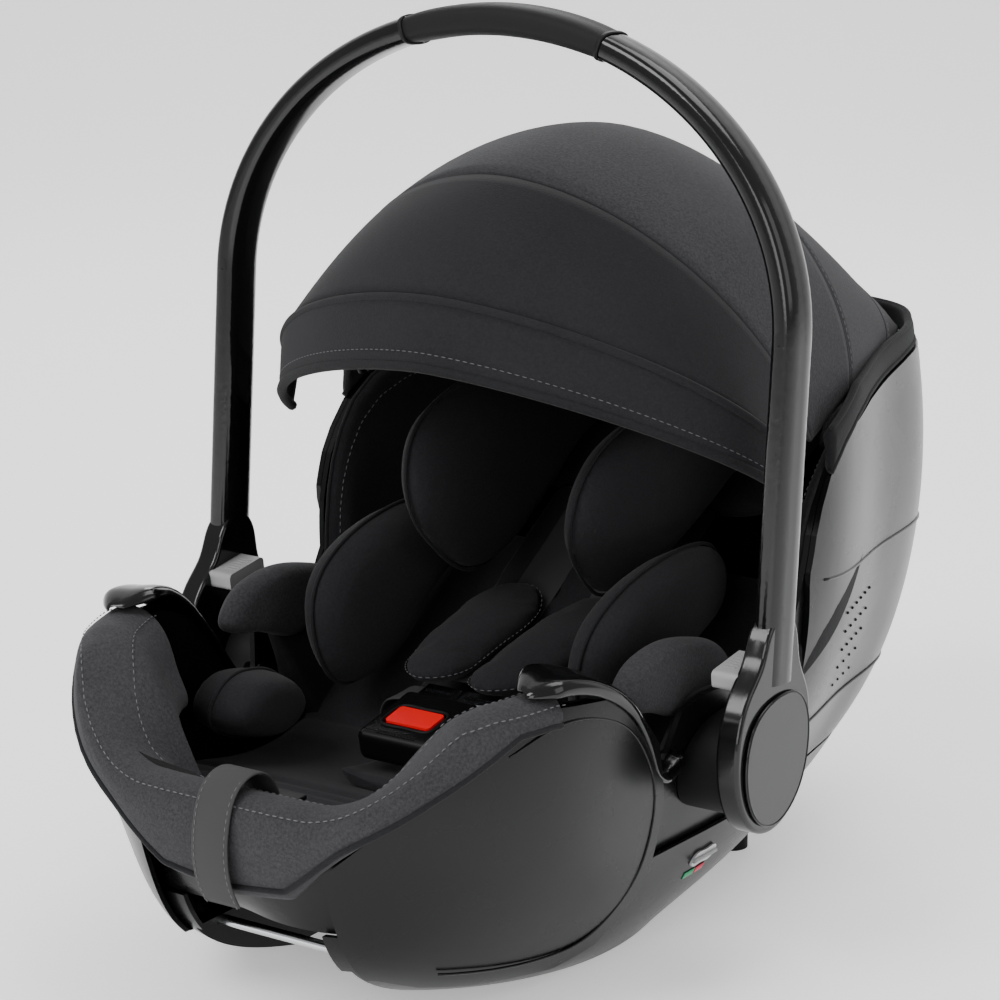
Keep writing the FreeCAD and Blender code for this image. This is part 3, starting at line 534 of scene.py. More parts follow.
def finish(name):
    """The object's own finishes, by name."""
    looks = bpy.context.scene.carrier_looks
    knit = {"grey knit": (looks.grey_knit, 0.45), "dark knit": (looks.dark_knit, 0.3),
            "insert knit": (looks.insert_knit, 0.3), "visor knit": (looks.visor_knit, 0.3)}
    if name in knit:
        colour, melange = knit[name]
        return new_finish(name, knit_group(),
                          {"Dark yarn": shade(colour, 0.55), "Light yarn": shade(colour, 1.75),
                           "Stitches per metre": 1000.0, "Melange": melange},
                          0.35, 0.0006, Specular_IOR_Level=0.12, Sheen_Weight=0.05,
                          Sheen_Roughness=0.5)
    if name == "webbing":
        return new_finish(name, webbing_group(),
                          {"Dark": shade(looks.webbing, 0.5), "Light": shade(looks.webbing, 1.6)},
                          0.6, 0.0008, Roughness=0.62, Specular_IOR_Level=0.25)
    plastics = {
        "satin black": (looks.black_plastic, 1500.0, 0.22, 0.32, 0.04),
        "gloss black": (looks.black_plastic, 900.0, 0.10, 0.18, 0.01),
        "matt black": (looks.black_plastic, 1400.0, 0.48, 0.62, 0.12),
        "soft grip": (looks.black_plastic, 2600.0, 0.55, 0.68, 0.25),
        "grey button": (looks.button_grey, 1500.0, 0.42, 0.52, 0.06),
        "red button": (looks.button_red, 900.0, 0.22, 0.3, 0.01),
        "rubber foot": (looks.black_plastic, 1200.0, 0.7, 0.8, 0.2),
        "thread": (looks.thread, 2500.0, 0.7, 0.8, 0.2),
        "green mark": (looks.mark_green, 900.0, 0.3, 0.4, 0.02),
        "red mark": (looks.mark_red, 900.0, 0.3, 0.4, 0.02),
        # near-black matt colour: painted shade that stands for the inside of the vent holes
        "painted vent shade": ((0.002, 0.002, 0.002), 900.0, 0.8, 0.9, 0.02),
    }
    if name in plastics:
        colour, grain, low, high, bump = plastics[name]
        return new_finish(name, grain_group(),
                          {"Base": shade(colour), "Grain per metre": grain,
                           "Shine low": low, "Shine high": high}, bump, 0.0004,
                          Specular_IOR_Level=0.42 if name == "gloss black" else 0.22)
    if name == "bright steel":
        return new_finish(name, grain_group(),
                          {"Base": (0.75, 0.76, 0.78, 1), "Grain per metre": 700.0,
                           "Shine low": 0.14, "Shine high": 0.24}, 0.02, 0.0003, Metallic=1.0)
    if name == "clear window":
        return new_finish(name, grain_group(),
                          {"Base": (0.5, 0.5, 0.52, 1), "Grain per metre": 500.0,
                           "Shine low": 0.04, "Shine high": 0.08}, 0.0, 0.0003,
                          Coat_Weight=1.0)
    raise RuntimeError("no finish named " + name)


# ---- repeated details by geometry nodes

def bead_tree():
    """Geometry nodes that lay short rounded beads along a curve, as thread or ribs."""
    if "beads along a path" in bpy.data.node_groups:
        return bpy.data.node_groups["beads along a path"]
    tree = bpy.data.node_groups.new("beads along a path", "GeometryNodeTree")
    for label, kind in (("Curve", "Geometry"), ("Pitch", "Float"), ("Bead length", "Float"),
                        ("Bead width", "Float"), ("Material", "Material")):
        tree.interface.new_socket(label, in_out="INPUT", socket_type="NodeSocket" + kind)
    tree.interface.new_socket("Beads", in_out="OUTPUT", socket_type="NodeSocketGeometry")
    start, end = tree.nodes.new("NodeGroupInput"), tree.nodes.new("NodeGroupOutput")
    spread = add(tree, "GeometryNodeCurveToPoints", mode="LENGTH")
    bead = add(tree, "GeometryNodeMeshUVSphere", Segments=6, Rings=4, Radius=0.5)
    size = add(tree, "ShaderNodeCombineXYZ")
    placed = add(tree, "GeometryNodeInstanceOnPoints")
    solid = add(tree, "GeometryNodeRealizeInstances")
    paint = add(tree, "GeometryNodeSetMaterial")
    for source, out, target, into in (
            (start, "Curve", spread, "Curve"), (start, "Pitch", spread, "Length"),
            (start, "Bead width", size, "X"), (start, "Bead width", size, "Y"),
            (start, "Bead length", size, "Z"), (spread, "Points", placed, "Points"),
            (spread, "Rotation", placed, "Rotation"), (bead, "Mesh", placed, "Instance"),
            (size, "Vector", placed, "Scale"), (placed, "Instances", solid, "Geometry"),
            (solid, "Geometry", paint, "Geometry"), (start, "Material", paint, "Material"),
            (paint, "Geometry", end, "Beads")):
        tree.links.new(source.outputs[out], target.inputs[into])
    return tree


def beads(name, paths, pitch, length, width, material):
    """Beads along one or more open paths of points in millimetres, as one plain mesh."""
    curve = bpy.data.curves.new(name, "CURVE")
    curve.dimensions = "3D"
    for path in paths:
        spline = curve.splines.new("POLY")
        spline.points.add(len(path) - 1)
        for point, place in zip(spline.points, path):
            point.co = (place[0] / 1000, place[1] / 1000, place[2] / 1000, 1)
    source = bpy.data.objects.new(name + "_path", curve)
    bpy.context.scene.collection.objects.link(source)
    tree = bead_tree()
    mod = source.modifiers.new("beads", "NODES")
    mod.node_group = tree
    values = {"Pitch": pitch / 1000, "Bead length": length / 1000, "Bead width": width / 1000,
              "Material": material}
    for label, value in values.items():
        mod[tree.interface.items_tree[label].identifier] = value
    depsgraph = bpy.context.evaluated_depsgraph_get()
    mesh = bpy.data.meshes.new_from_object(source.evaluated_get(depsgraph))
    obj = bpy.data.objects.new(name, mesh)
    bpy.context.scene.collection.objects.link(obj)
    if not mesh.materials:
        mesh.materials.append(material)
    mesh.polygons.foreach_set("use_smooth", [True] * len(mesh.polygons))
    bpy.data.objects.remove(source)
    bpy.data.curves.remove(curve)
    return obj


def stitch(name, paths, body, width=0.9):
    looks = bpy.context.scene.carrier_looks
    obj = beads(name, paths, looks.stitch_pitch * 1000, looks.stitch_length * 1000, width,
                finish("thread"))
    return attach(obj, body)


def dress(nodes, name):
    for label in nodes:
        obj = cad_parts[label]
        obj.data.materials.clear()
        obj.data.materials.append(finish(name))


def both(name):
    return [name + "_right", name + "_left"]


# ---- settings

def colour(name, description, default):
    return bpy.props.FloatVectorProperty(name=name, description=description, subtype="COLOR",
                                         default=default, min=0, max=1)


def length(name, description, default, low):
    return bpy.props.FloatProperty(name=name, description=description, default=default,
                                   min=low, unit="LENGTH")


class CARRIER_PG_looks(bpy.types.PropertyGroup):
    grey_knit: colour("Grey knit", "Bumper and canopy cover", (0.031, 0.0307, 0.0335))
    dark_knit: colour("Dark knit", "Side covers and piping", (0.0115, 0.0115, 0.0128))
    insert_knit: colour("Insert knit", "Soft pads of the newborn insert", (0.0145, 0.0144, 0.0162))
    visor_knit: colour("Visor knit", "Front panel of the canopy", (0.0135, 0.0133, 0.0150))
    webbing: colour("Webbing", "Harness and pull strap", (0.008, 0.008, 0.009))
    black_plastic: colour("Black plastic", "Shell, base and handle", (0.0038, 0.0038, 0.0042))
    button_grey: colour("Handle buttons", "Ribbed buttons at the hubs", (0.33, 0.33, 0.33))
    button_red: colour("Buckle button", "Red release button", (0.86, 0.006, 0.010))
    thread: colour("Thread", "Seam stitching", (0.12, 0.12, 0.13))
    mark_green: colour("Level mark green", "Level window, right range", (0.02, 0.35, 0.14))
    mark_red: colour("Level mark red", "Level window, wrong range", (0.70, 0.04, 0.09))
    stitch_pitch: length("Stitch pitch", "Distance between stitches", 0.005, 0.002)
    stitch_length: length("Stitch length", "Length of one stitch", 0.0034, 0.001)


class CARRIER_PG_sizes(bpy.types.PropertyGroup):
    bumper_thick: length(
        "Bumper padding", "Padding outside the rim at the foot end", 0.0115, 0.004)
    piping: length("Piping", "Diameter of the piping cord in seams", 0.0042, 0.001)
    web_width: length("Webbing width", "Harness webbing", 0.034, 0.015)
    canopy_cloth: length("Canopy cloth", "Thickness of the canopy panels", 0.0022, 0.001)
    pad_cap: length("Pad swell", "Most that a stuffed pad may swell", 0.005, 0.0)


def looks():
    return bpy.context.scene.carrier_looks


def sizes():
    return bpy.context.scene.carrier_sizes


# ---- stage

class CARRIER_OT_stage(bpy.types.Operator):
    """Pale floor, soft lights and the camera"""
    bl_idname = "carrier.stage"
    bl_label = "Stage"

    def execute(self, context):
        scene = context.scene
        profile = [(-16.0, 0.0), (2.6, 0.0)]
        for turn in np.linspace(0, math.pi / 2, 13)[1:]:
            profile.append((2.6 + 1.2 * math.sin(turn), 1.2 - 1.2 * math.cos(turn)))
        profile.append((3.8, 6.0))
        turn = math.radians(VIEW_AZIMUTH)
        points = []
        for along, up in profile:
            for across in (-12, 12):
                x = across * math.cos(turn) - along * math.sin(turn)
                y = across * math.sin(turn) + along * math.cos(turn)
                points.append((x * 1000, y * 1000, up * 1000))
        faces = [(2 * i, 2 * i + 1, 2 * i + 3, 2 * i + 2) for i in range(len(profile) - 1)]
        paper = bpy.data.materials.new("paper floor")
        paper.use_nodes = True
        shader = paper.node_tree.nodes["Principled BSDF"]
        shader.inputs["Base Color"].default_value = (0.96, 0.96, 0.96, 1)
        shader.inputs["Roughness"].default_value = 0.8
        shader.inputs["Emission Color"].default_value = (1, 1, 1, 1)
        shader.inputs["Emission Strength"].default_value = 0.42
        make_mesh("floor", points, faces, paper)
        world = bpy.data.worlds.new("studio")
        world.use_nodes = True
        world.node_tree.nodes["Background"].inputs[0].default_value = (1, 1, 1, 1)
        world.node_tree.nodes["Background"].inputs[1].default_value = 0.46
        scene.world = world
        target = Vector(VIEW_TARGET)
        for name, angle, high, dist, energy, size in (
                ("key", -20, 2.2, 2.3, 66, 1.5), ("fill", 84, 1.1, 2.4, 14, 1.6),
                ("front", 14, 0.75, 2.7, 22, 1.3),
                ("top", 150, 3.0, 1.0, 56, 2.0), ("rim", 215, 1.5, 2.4, 16, 1.0)):
            lamp = bpy.data.lights.new(name, "AREA")
            lamp.energy, lamp.size = energy, size
            obj = bpy.data.objects.new(name, lamp)
            a = math.radians(angle)
            obj.location = target + Vector((dist * math.sin(a), -dist * math.cos(a), high))
            obj.rotation_euler = (target - obj.location).to_track_quat("-Z", "Y").to_euler()
            scene.collection.objects.link(obj)
        lens = bpy.data.cameras.new("camera")
        lens.lens, lens.sensor_width = 125.5, 36.0
        camera = bpy.data.objects.new("camera", lens)
        az, el = math.radians(VIEW_AZIMUTH), math.radians(VIEW_ELEVATION)
        away = Vector((math.sin(az) * math.cos(el), -math.cos(az) * math.cos(el), math.sin(el)))
        camera.location = target + VIEW_DISTANCE * away
        camera.rotation_euler = (target - camera.location).to_track_quat("-Z", "Y").to_euler()
        lens.clip_end = 50
        scene.collection.objects.link(camera)
        scene.camera = camera
        return {"FINISHED"}


# ---- hard parts

class CARRIER_OT_shell(bpy.types.Operator):
    """Finishes of the mouldings, with the lines, slots and marks on them"""
    bl_idname = "carrier.shell"
    bl_label = "Shell and base"

    def execute(self, context):
        dress(["seat_tub", "base_pan", "back_cover", "release_lever"], "satin black")
        dress(both("side_panel"), "satin black")
        dress(["shoulder_belt_guide", "adjuster_body", "adjuster_lever"], "matt black")
        dress(both("hub_housing") + ["splitter_plate"], "matt black")
        dress(both("handle_leg") + both("hub_cap"), "gloss black")
        dress(["front_lock_bar", "rear_lock_bar", "pivot_pins", "shell_screws"], "bright steel")
        dress(["canopy_bow_front", "canopy_bow_mid", "canopy_bow_rear"], "matt black")
        dress(["rear_feet"], "rubber foot")
        dress(["level_window"], "clear window")
        dress(both("handle_button"), "grey button")
        dress(["buckle_button"], "red button")
        dress(["handle_grip"], "soft grip")
        self.back_lines()
        self.perforations()
        self.panel_lines()
        self.level_marks()
        return {"FINISHED"}

    def back_lines(self):
        """Raised lines that run round the back shell."""
        for name, from_y, z0, z1 in (("back_line", 52, 236, 206), ("back_step", 74, 120, 118)):
            columns = np.linspace(column_at(from_y, z0), AROUND / 2 + 0.5, 60)
            share = np.linspace(0, 1, 60)
            path = shell(columns, z0 + (z1 - z0) * share ** 0.7, 0.1)
            side_cords(name, path, 1.1, "satin black", "shell")

    def perforations(self):
        """Rows of small dark dots on the back shell where its vents are: painted shade standing in
        for the vent holes.
        """
        for side, sign in SIDES:
            paths = []
            for row in range(5):
                z = 196 - row * 15
                start = column_at(112 + row * 5, z)
                path = shell(np.linspace(start, start + 15 - row, 24), z, 0.1)
                path[:, 0] *= sign
                paths.append(path)
            # raised dots coloured as painted shade, in place of real vent holes
            slots = beads("vent_slots_" + side, paths, 12.0, 2.4, 2.4, finish("painted vent shade"))
            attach(slots, "shell")

    def panel_lines(self):
        """Fine raised line just inside the edge of each side panel."""
        crease = [(-256, 196), (-225, 207), (-185, 203), (-158, 190), (-132, 164),
                  (-112, 130), (-106, 95), (-110, 60), (-132, 38), (-165, 33),
                  (-210, 37), (-250, 44)]
        smooth = open_spline(crease, 70)
        columns = np.array([column_at(y, z) for y, z in smooth])
        path = shell(columns, smooth[:, 1], 6.2)
        side_cords("panel_crease", path, 0.9, "satin black", "shell", 6)

    def level_marks(self):
        """Bubble in the level window, and a green and a red mark side by side under it."""
        centre = column_at(-8, 53)
        path = shell(np.linspace(centre - 3, centre + 3, 14), 53.0, 2.3)
        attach(tube("level_bubble", path, 1.6, finish("grey button"), 10), "shell")
        for name, look, y0, y1, z, tall in (
                ("level_label_green", "green mark", -22, -9, 41.0, 5.0),
                ("level_label_red", "red mark", -7.5, 3, 41.0, 5.0)):
            columns = np.linspace(column_at(y0, z), column_at(y1, z), 16)
            rows = [shell(columns, z + h, lift) for h, lift in
                    ((-tall / 2, 0.15), (-tall / 2, 0.6), (tall / 2, 0.6), (tall / 2, 0.15))]
            rows = np.array(rows).transpose(1, 0, 2)
            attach(grid(name, rows, finish(look), close_columns=True, caps=True), "shell")


class CARRIER_OT_handle(bpy.types.Operator):
    """Ribs, outlines and grip joints on the carry handle"""
    bl_idname = "carrier.handle"
    bl_label = "Handle details"

    def execute(self, context):
        cover = [(-58, 106), (-77.5, 115), (-90, 138), (-90, 160), (-81.5, 177), (-66, 186),
                 (-46, 189), (-27.5, 185), (-17, 173), (-14, 154), (-27.5, 119)]
        path = [(226.2, y, z) for y, z in closed_spline(cover, 10)]
        side_cords("hub_outline", path, 0.8, "satin black", "handle", 6, True)
        tilt = math.radians(8)
        for side, sign in SIDES:
            paths = []
            for k in range(6):
                along = -9 + 3.6 * k
                y, z = -58 + along * math.cos(tilt), 203 + along * math.sin(tilt)
                up = np.array([0, -math.sin(tilt), math.cos(tilt)])
                paths.append([np.array((sign * x, y, z)) + up * 6.0
                              for x in np.linspace(194, 202, 6)])
            ribs = beads("button_ribs_" + side, paths, 1.4, 2.4, 1.3, finish("grey button"))
            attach(ribs, "handle_button_" + side)
        self.grip_notches()
        return {"FINISHED"}

    def grip_notches(self):
        """Dark joints where the soft grip meets the two legs."""
        reach = math.acos(75 / 217)
        for side, sign in SIDES:
            rings = []
            for swell, shift in ((0.2, 0.0), (1.1, 0.0), (1.1, 0.012), (0.2, 0.012)):
                turn = reach + shift - 0.008
                rise = 192 - 9
                z0 = 410 + rise * math.sin(turn)
                centre = np.array((217 * math.cos(turn), -50 + 0.076 * (z0 - 149), z0))
                out = np.array((math.cos(turn) / 217, 0, 0)) + np.array((0, 0.0758, 0.997)) \
                    * math.sin(turn) / rise
                out /= np.linalg.norm(out)
                across = np.array((0, 0.997, -0.0758))
                ring = []
                for a in np.linspace(0, 2 * math.pi, 40, endpoint=False):
                    c, s = math.cos(a), math.sin(a)
                    r = (abs(c) ** 3 + abs(s) ** 3) ** (-1 / 3)
                    point = centre + out * c * r * (9 + swell) + across * s * r * (16 + swell)
                    ring.append(point * (sign, 1, 1))
                rings.append(ring)
            band = grid("grip_joint_" + side, rings, finish("matt black"), close_rows=True,
                        close_columns=True)
            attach(band, "handle")


# ---- covers on the shell

def rim_height(column, inset=0.0):
    """Height of the rim where a column of the shell meets it, at a distance inside."""
    z = 200.0
    for _ in range(12):
        z = 0.5 * z + 0.5 * float(line_at(RIM, shell(column, z, -inset)[1]))
    return z


def bumper_foot(column):
    """Height of the bumper's lower edge on a column of the shell."""
    z = 150.0
    for _ in range(8):
        z = 0.5 * z + 0.5 * float(line_at(BUMPER_LINE, abs(shell(column, z)[0])))
    return z


class CARRIER_OT_bumper(bpy.types.Operator):
    """Padded cover over the foot end of the shell"""
    bl_idname = "carrier.bumper"
    bl_label = "Foot bumper"

    def execute(self, context):
        thick = sizes().bumper_thick * 1000
        end = column_at(-226, 205)
        columns = np.linspace(-end, end, 121)
        rings, seam, low_seam, crest = [], [], [], []
        for column in columns:
            zr, zb = rim_height(column, 8.5), bumper_foot(column) + 1.0
            zb = min(zb, zr - 10)
            mid = (zb + zr) / 2
            loop = [(0.8, zb), (thick * 0.55, zb + 1), (thick * 0.92, zb + (zr - zb) * 0.14),
                    (thick + 0.4, mid), (thick * 0.95, zr - (zr - zb) * 0.12),
                    (thick * 0.62, zr + 2.5), (1, zr + 6.8), (-8, zr + 8.4), (-19, zr + 5.5),
                    (-30, zr - 2), (-39, zr - 14), (-47, zr - 30), (-52, zr - 48),
                    (-46, zr - 50), (-30, zr - 30), (-14, zr - 12), (-8.4, zr + 0.9),
                    (-3, zr + 1.2), (0.8, zr - 2)]
            loop = closed_spline(loop, 4)
            rings.append(shell(column, loop[:, 1], loop[:, 0]))
            seam.append(shell(column, zr + 3.6, thick * 0.66 + 0.3))
            low_seam.append(shell(column, zb + (zr - zb) * 0.14 + 1, thick * 0.95 + 0.3))
            crest.append(shell(column, zr + 3.2, -24.5))
        pad = grid("foot_bumper_cover", rings, finish("grey knit"), close_columns=True,
                   caps=True)
        finish_mesh(pad, levels=1)
        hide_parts("foot_bumper")
        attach(pad, "shell")
        radius = sizes().piping * 500
        pipe = tube("bumper_piping", np.array(low_seam), radius, finish("dark knit"), 8)
        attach(pipe, "shell")
        stitch("bumper_stitches", [np.array(seam), np.array(crest)], "shell")
        return {"FINISHED"}


class CARRIER_OT_guides(bpy.types.Operator):
    """Glossy belt guides: a blade over each end of the bumper that runs down the rim"""
    bl_idname = "carrier.guides"
    bl_label = "Belt guides"

    def execute(self, context):
        line = open_spline([(-240, 229, 30), (-226, 232, 36), (-205, 230, 34), (-181, 221, 30),
                            (-158, 206, 26), (-140, 187, 24), (-124, 165, 22),
                            (-110, 147, 21), (-96, 140, 20), (-82, 146, 18)], 60)
        rings = []
        for step, (y, z, wide) in enumerate(line):
            column = column_at(y, z)
            tip = min(1.0, (step + 0.6) / 6.0) ** 0.5
            outer = 9.5 if y < -150 else 5.0 + 4.5 * max(0.0, (-110 - y) / 40)
            section = [(outer, -6), (outer + 0.9, -1), (outer - 1.5, 2.6), (outer - 6, 4.2),
                       (outer - wide / 2, 5.2), (outer - wide, 3.0), (outer - wide, 0.6),
                       (outer - wide / 2, 2.6), (outer - 6, 1.6), (outer - 2.4, -1.2),
                       (outer - 1.8, -6)]
            loop = closed_spline(section, 3)
            middle = outer - wide / 2
            off = middle + (loop[:, 0] - middle) * tip
            rings.append(shell(column, z + loop[:, 1] * tip, off))
        for side, sign in SIDES:
            blade = grid("belt_blade_" + side, np.array(rings) * (sign, 1, 1),
                         finish("gloss black"), close_columns=True, caps=True)
            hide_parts("belt_guide_" + side)
            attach(blade, "shell")
        return {"FINISHED"}


class CARRIER_OT_lining(bpy.types.Operator):
    """Side covers: the lining inside the rim and the padded bumps beside the hubs"""
    bl_idname = "carrier.lining"
    bl_label = "Side covers"

    def execute(self, context):
        start, end = column_at(-70, 180), AROUND / 2
        columns = np.linspace(start, end, 130)
        rings, edge = [], []
        for column in columns:
            zr = rim_height(column)
            y = shell(column, zr)[1]
            floor = float(line_at(FLOOR, min(y - 20, 330)))
            low = max(min(floor + 16, zr - 22), 96)
            half = (zr + low) / 2
            loop = [(-9.2, zr - 3), (-10.5, zr - 0.5), (-14, zr - 1.5), (-18, zr - 9),
                    (-22, zr - 24), (-26, half), (-30, low + 10), (-30, low),
                    (-9.7, low), (-9.5, half), (-9.2, zr - 12)]
            loop = closed_spline(loop, 3)
            rings.append(shell(column, loop[:, 1], loop[:, 0]))
            edge.append(shell(column, zr - 0.2, -11.0))
        side_cords("rim_hem", edge, 1.5, "dark knit", "shell")
        for side, sign in SIDES:
            shape = np.array(rings) * (sign, 1, 1)
            cover = grid("rim_cover_" + side, shape, finish("dark knit"),
                         close_columns=True, caps=True)
            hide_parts("side_cover_" + side)
            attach(cover, "shell")
            inner = shell(columns[4:-2], np.array([rim_height(c) - 14 for c in columns[4:-2]]),
                          -20.2) * (sign, 1, 1)
            stitch("rim_stitches_" + side, [inner], "shell")
        bump = [(-134, 192), (-124, 207), (-100, 217), (-72, 219), (-40, 213), (-8, 199),
                (2, 187), (-30, 172), (-62, 166), (-98, 178)]
        pad = cushion("rim_bump_right", bump, lambda y, z, h: (154 + h, y, z), 12,
                      finish("grey knit"), fullness=0.45)
        twin = mirror_copy(pad, "rim_bump_left")
        for piece in (pad, twin):
            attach(piece, "shell")
        return {"FINISHED"}


# ---- seat pads

def floor_layer(name, low, high, y0, y1, half_at, material, channels, step, crown=5.0):
    """Padded layer that follows the tub floor; half_at gives its half width along y."""
    stations = np.arange(y0, y1 + 0.1, step)
    rings = []
    for y in stations:
        kernel = np.arange(-24, 25, 6)
        base = float(np.mean(line_at(FLOOR, y + kernel)))
        ends = min(1.0, (y - y0 + 3) / 12, (y1 - y + 3) / 12)
        half = half_at(y)
        dip = sum(math.exp(-((y - c) / 5.0) ** 2) for c in channels)
        top = low + (high - low) * (0.35 + 0.65 * ends ** 0.5)
        ring = []
        count = 16
        for i in range(count + 1):
            u = -1 + 2 * i / count
            puffy = (1 - abs(u) ** 4) ** 0.5
            z = base + low + (top - low) * (0.25 + 0.75 * puffy) + crown * (1 - u * u) * 0.4 \
                - dip * 3.5 + 10 * abs(u) ** 5
            ring.append((half * u, y, z))
        for i in range(count, -1, -1):
            u = -1 + 2 * i / count
            ring.append((half * u * 0.97, y, base + low + 8 * abs(u) ** 5))
        rings.append(ring)
    return finish_mesh(grid(name, rings, material, close_columns=True, caps=True), levels=1)


class CARRIER_OT_insert(bpy.types.Operator):
    """Soft newborn insert: seat, back, wings and rolls"""
    bl_idname = "carrier.insert"
    bl_label = "Newborn insert"

    def execute(self, context):
        soft = finish("insert knit")

        def tub_half(y):
            z = min(float(line_at(FLOOR, y)) + 14, 320)
            return max(20.0, abs(float(shell(column_at(y, z), z)[0])) - 17)

        for name, node, body, fill, low, high, y0, y1, half, channels, step in (
                ("seat_cushion", "seat_pad", "shell", 0.5, 0.6, 16, -296, 118, tub_half,
                 (-272, -254, -236, -216, -196, -60), 5),
                ("back_cushion", "insert_back_pad", "shell", 0.5, 17.5, 29, -84, 148,
                 lambda y: 66.0, (-5, 60), 5),
                ("crotch_cushion", "crotch_pad", "shell", 0.5, 17.5, 25, -168, -94,
                 lambda y: 33.0, (), 3),
                ("headrest_cushion", "headrest_core", "headrest", 0.7, 17.5, 33, 150, 286,
                 lambda y: 104 - max(0.0, y - 215) * 0.28, (218,), 5)):
            piece = floor_layer(name, low, high, y0, y1, half, soft, channels, step)
            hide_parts(node)
            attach(piece, body)
        cap = sizes().pad_cap * 1000
        hip = [(-98, 185), (-92, 214), (-63, 236), (-20, 248), (33, 250), (66, 236),
               (70, 214), (40, 192), (0, 164), (-40, 146), (-76, 146)]
        head = [(-44, 286), (-30, 312), (5, 330), (60, 338), (130, 334), (200, 330),
                (216, 306), (170, 276), (110, 244), (50, 216), (10, 212), (-24, 236),
                (-42, 260)]
        roll = [(-196, 150), (-180, 170), (-150, 172), (-122, 160), (-112, 142),
                (-130, 128), (-170, 132)]
        for name, node, outline, x, half, body, bow in (
                ("hip_wing", "hip_wing", hip, 106, 21, "shell", 0.10),
                ("head_wing", "headrest_wing", head, 66, 19, "headrest", 0.16),
                ("leg_roll", "leg_roll", roll, 116, 27, "shell", 0.0)):
            middle = np.mean(outline, 0)

            def place(y, z, h, x=x, bow=bow, middle=middle):
                return (x + h + bow * (z - middle[1]), y, z)

            right = cushion(name + "_pad_right", outline, place, half, soft)
            right = puff(right, cap)
            left = mirror_copy(right, name + "_pad_left")
            for side, piece in (("right", right), ("left", left)):
                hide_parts(node + "_" + side)
                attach(piece, body)
            seam = edge_path(outline, place, 0.0, 0.2)
            side_cords(name + "_seam", seam, 1.3, "dark knit", body, 8, True)
        return {"FINISHED"}


# ---- harness

def strap(name, points, width, thick, across, material, count=90):
    """Flat webbing along a smooth run, with rounded edges."""
    path = open_spline(points, count)
    run = np.gradient(path, axis=0)
    run /= np.linalg.norm(run, axis=1)[:, None]
    side = np.asarray(across, float) - run * (run @ np.asarray(across, float))[:, None]
    side /= np.linalg.norm(side, axis=1)[:, None]
    up = np.cross(side, run)
    w, t = width / 2, thick / 2
    section = [(t * 0.6, -w), (t, -w + 1.2), (t, 0), (t, w - 1.2), (t * 0.6, w),
               (-t * 0.6, w), (-t, w - 1.2), (-t, 0), (-t, -w + 1.2), (-t * 0.6, -w)]
    return section_sweep(name, path, up, side, section, material)


def lay_web(name, node, points, width, across, count=90):
    """Webbing that stands for one strap of the frame."""
    piece = strap(name, points, width, 1.6, across, finish("webbing"), count)
    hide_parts(node)
    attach(piece, "shell")


def shoulder_run():
    """Run of a shoulder strap: (along, up) from the buckle to behind the seat."""
    run = [(-58, 157), (-40, 161), (-20, 165), (0, 168)]
    for y in (30, 50, 70, 90, 110):
        run.append((y, max(float(line_at(FLOOR, y)) + 30.1, 168 + y * 0.2)))
    return run + [(128, float(line_at(FLOOR, 126)) + 29), (136, float(line_at(FLOOR, 124))),
                  (139, 190), (142, 168)]


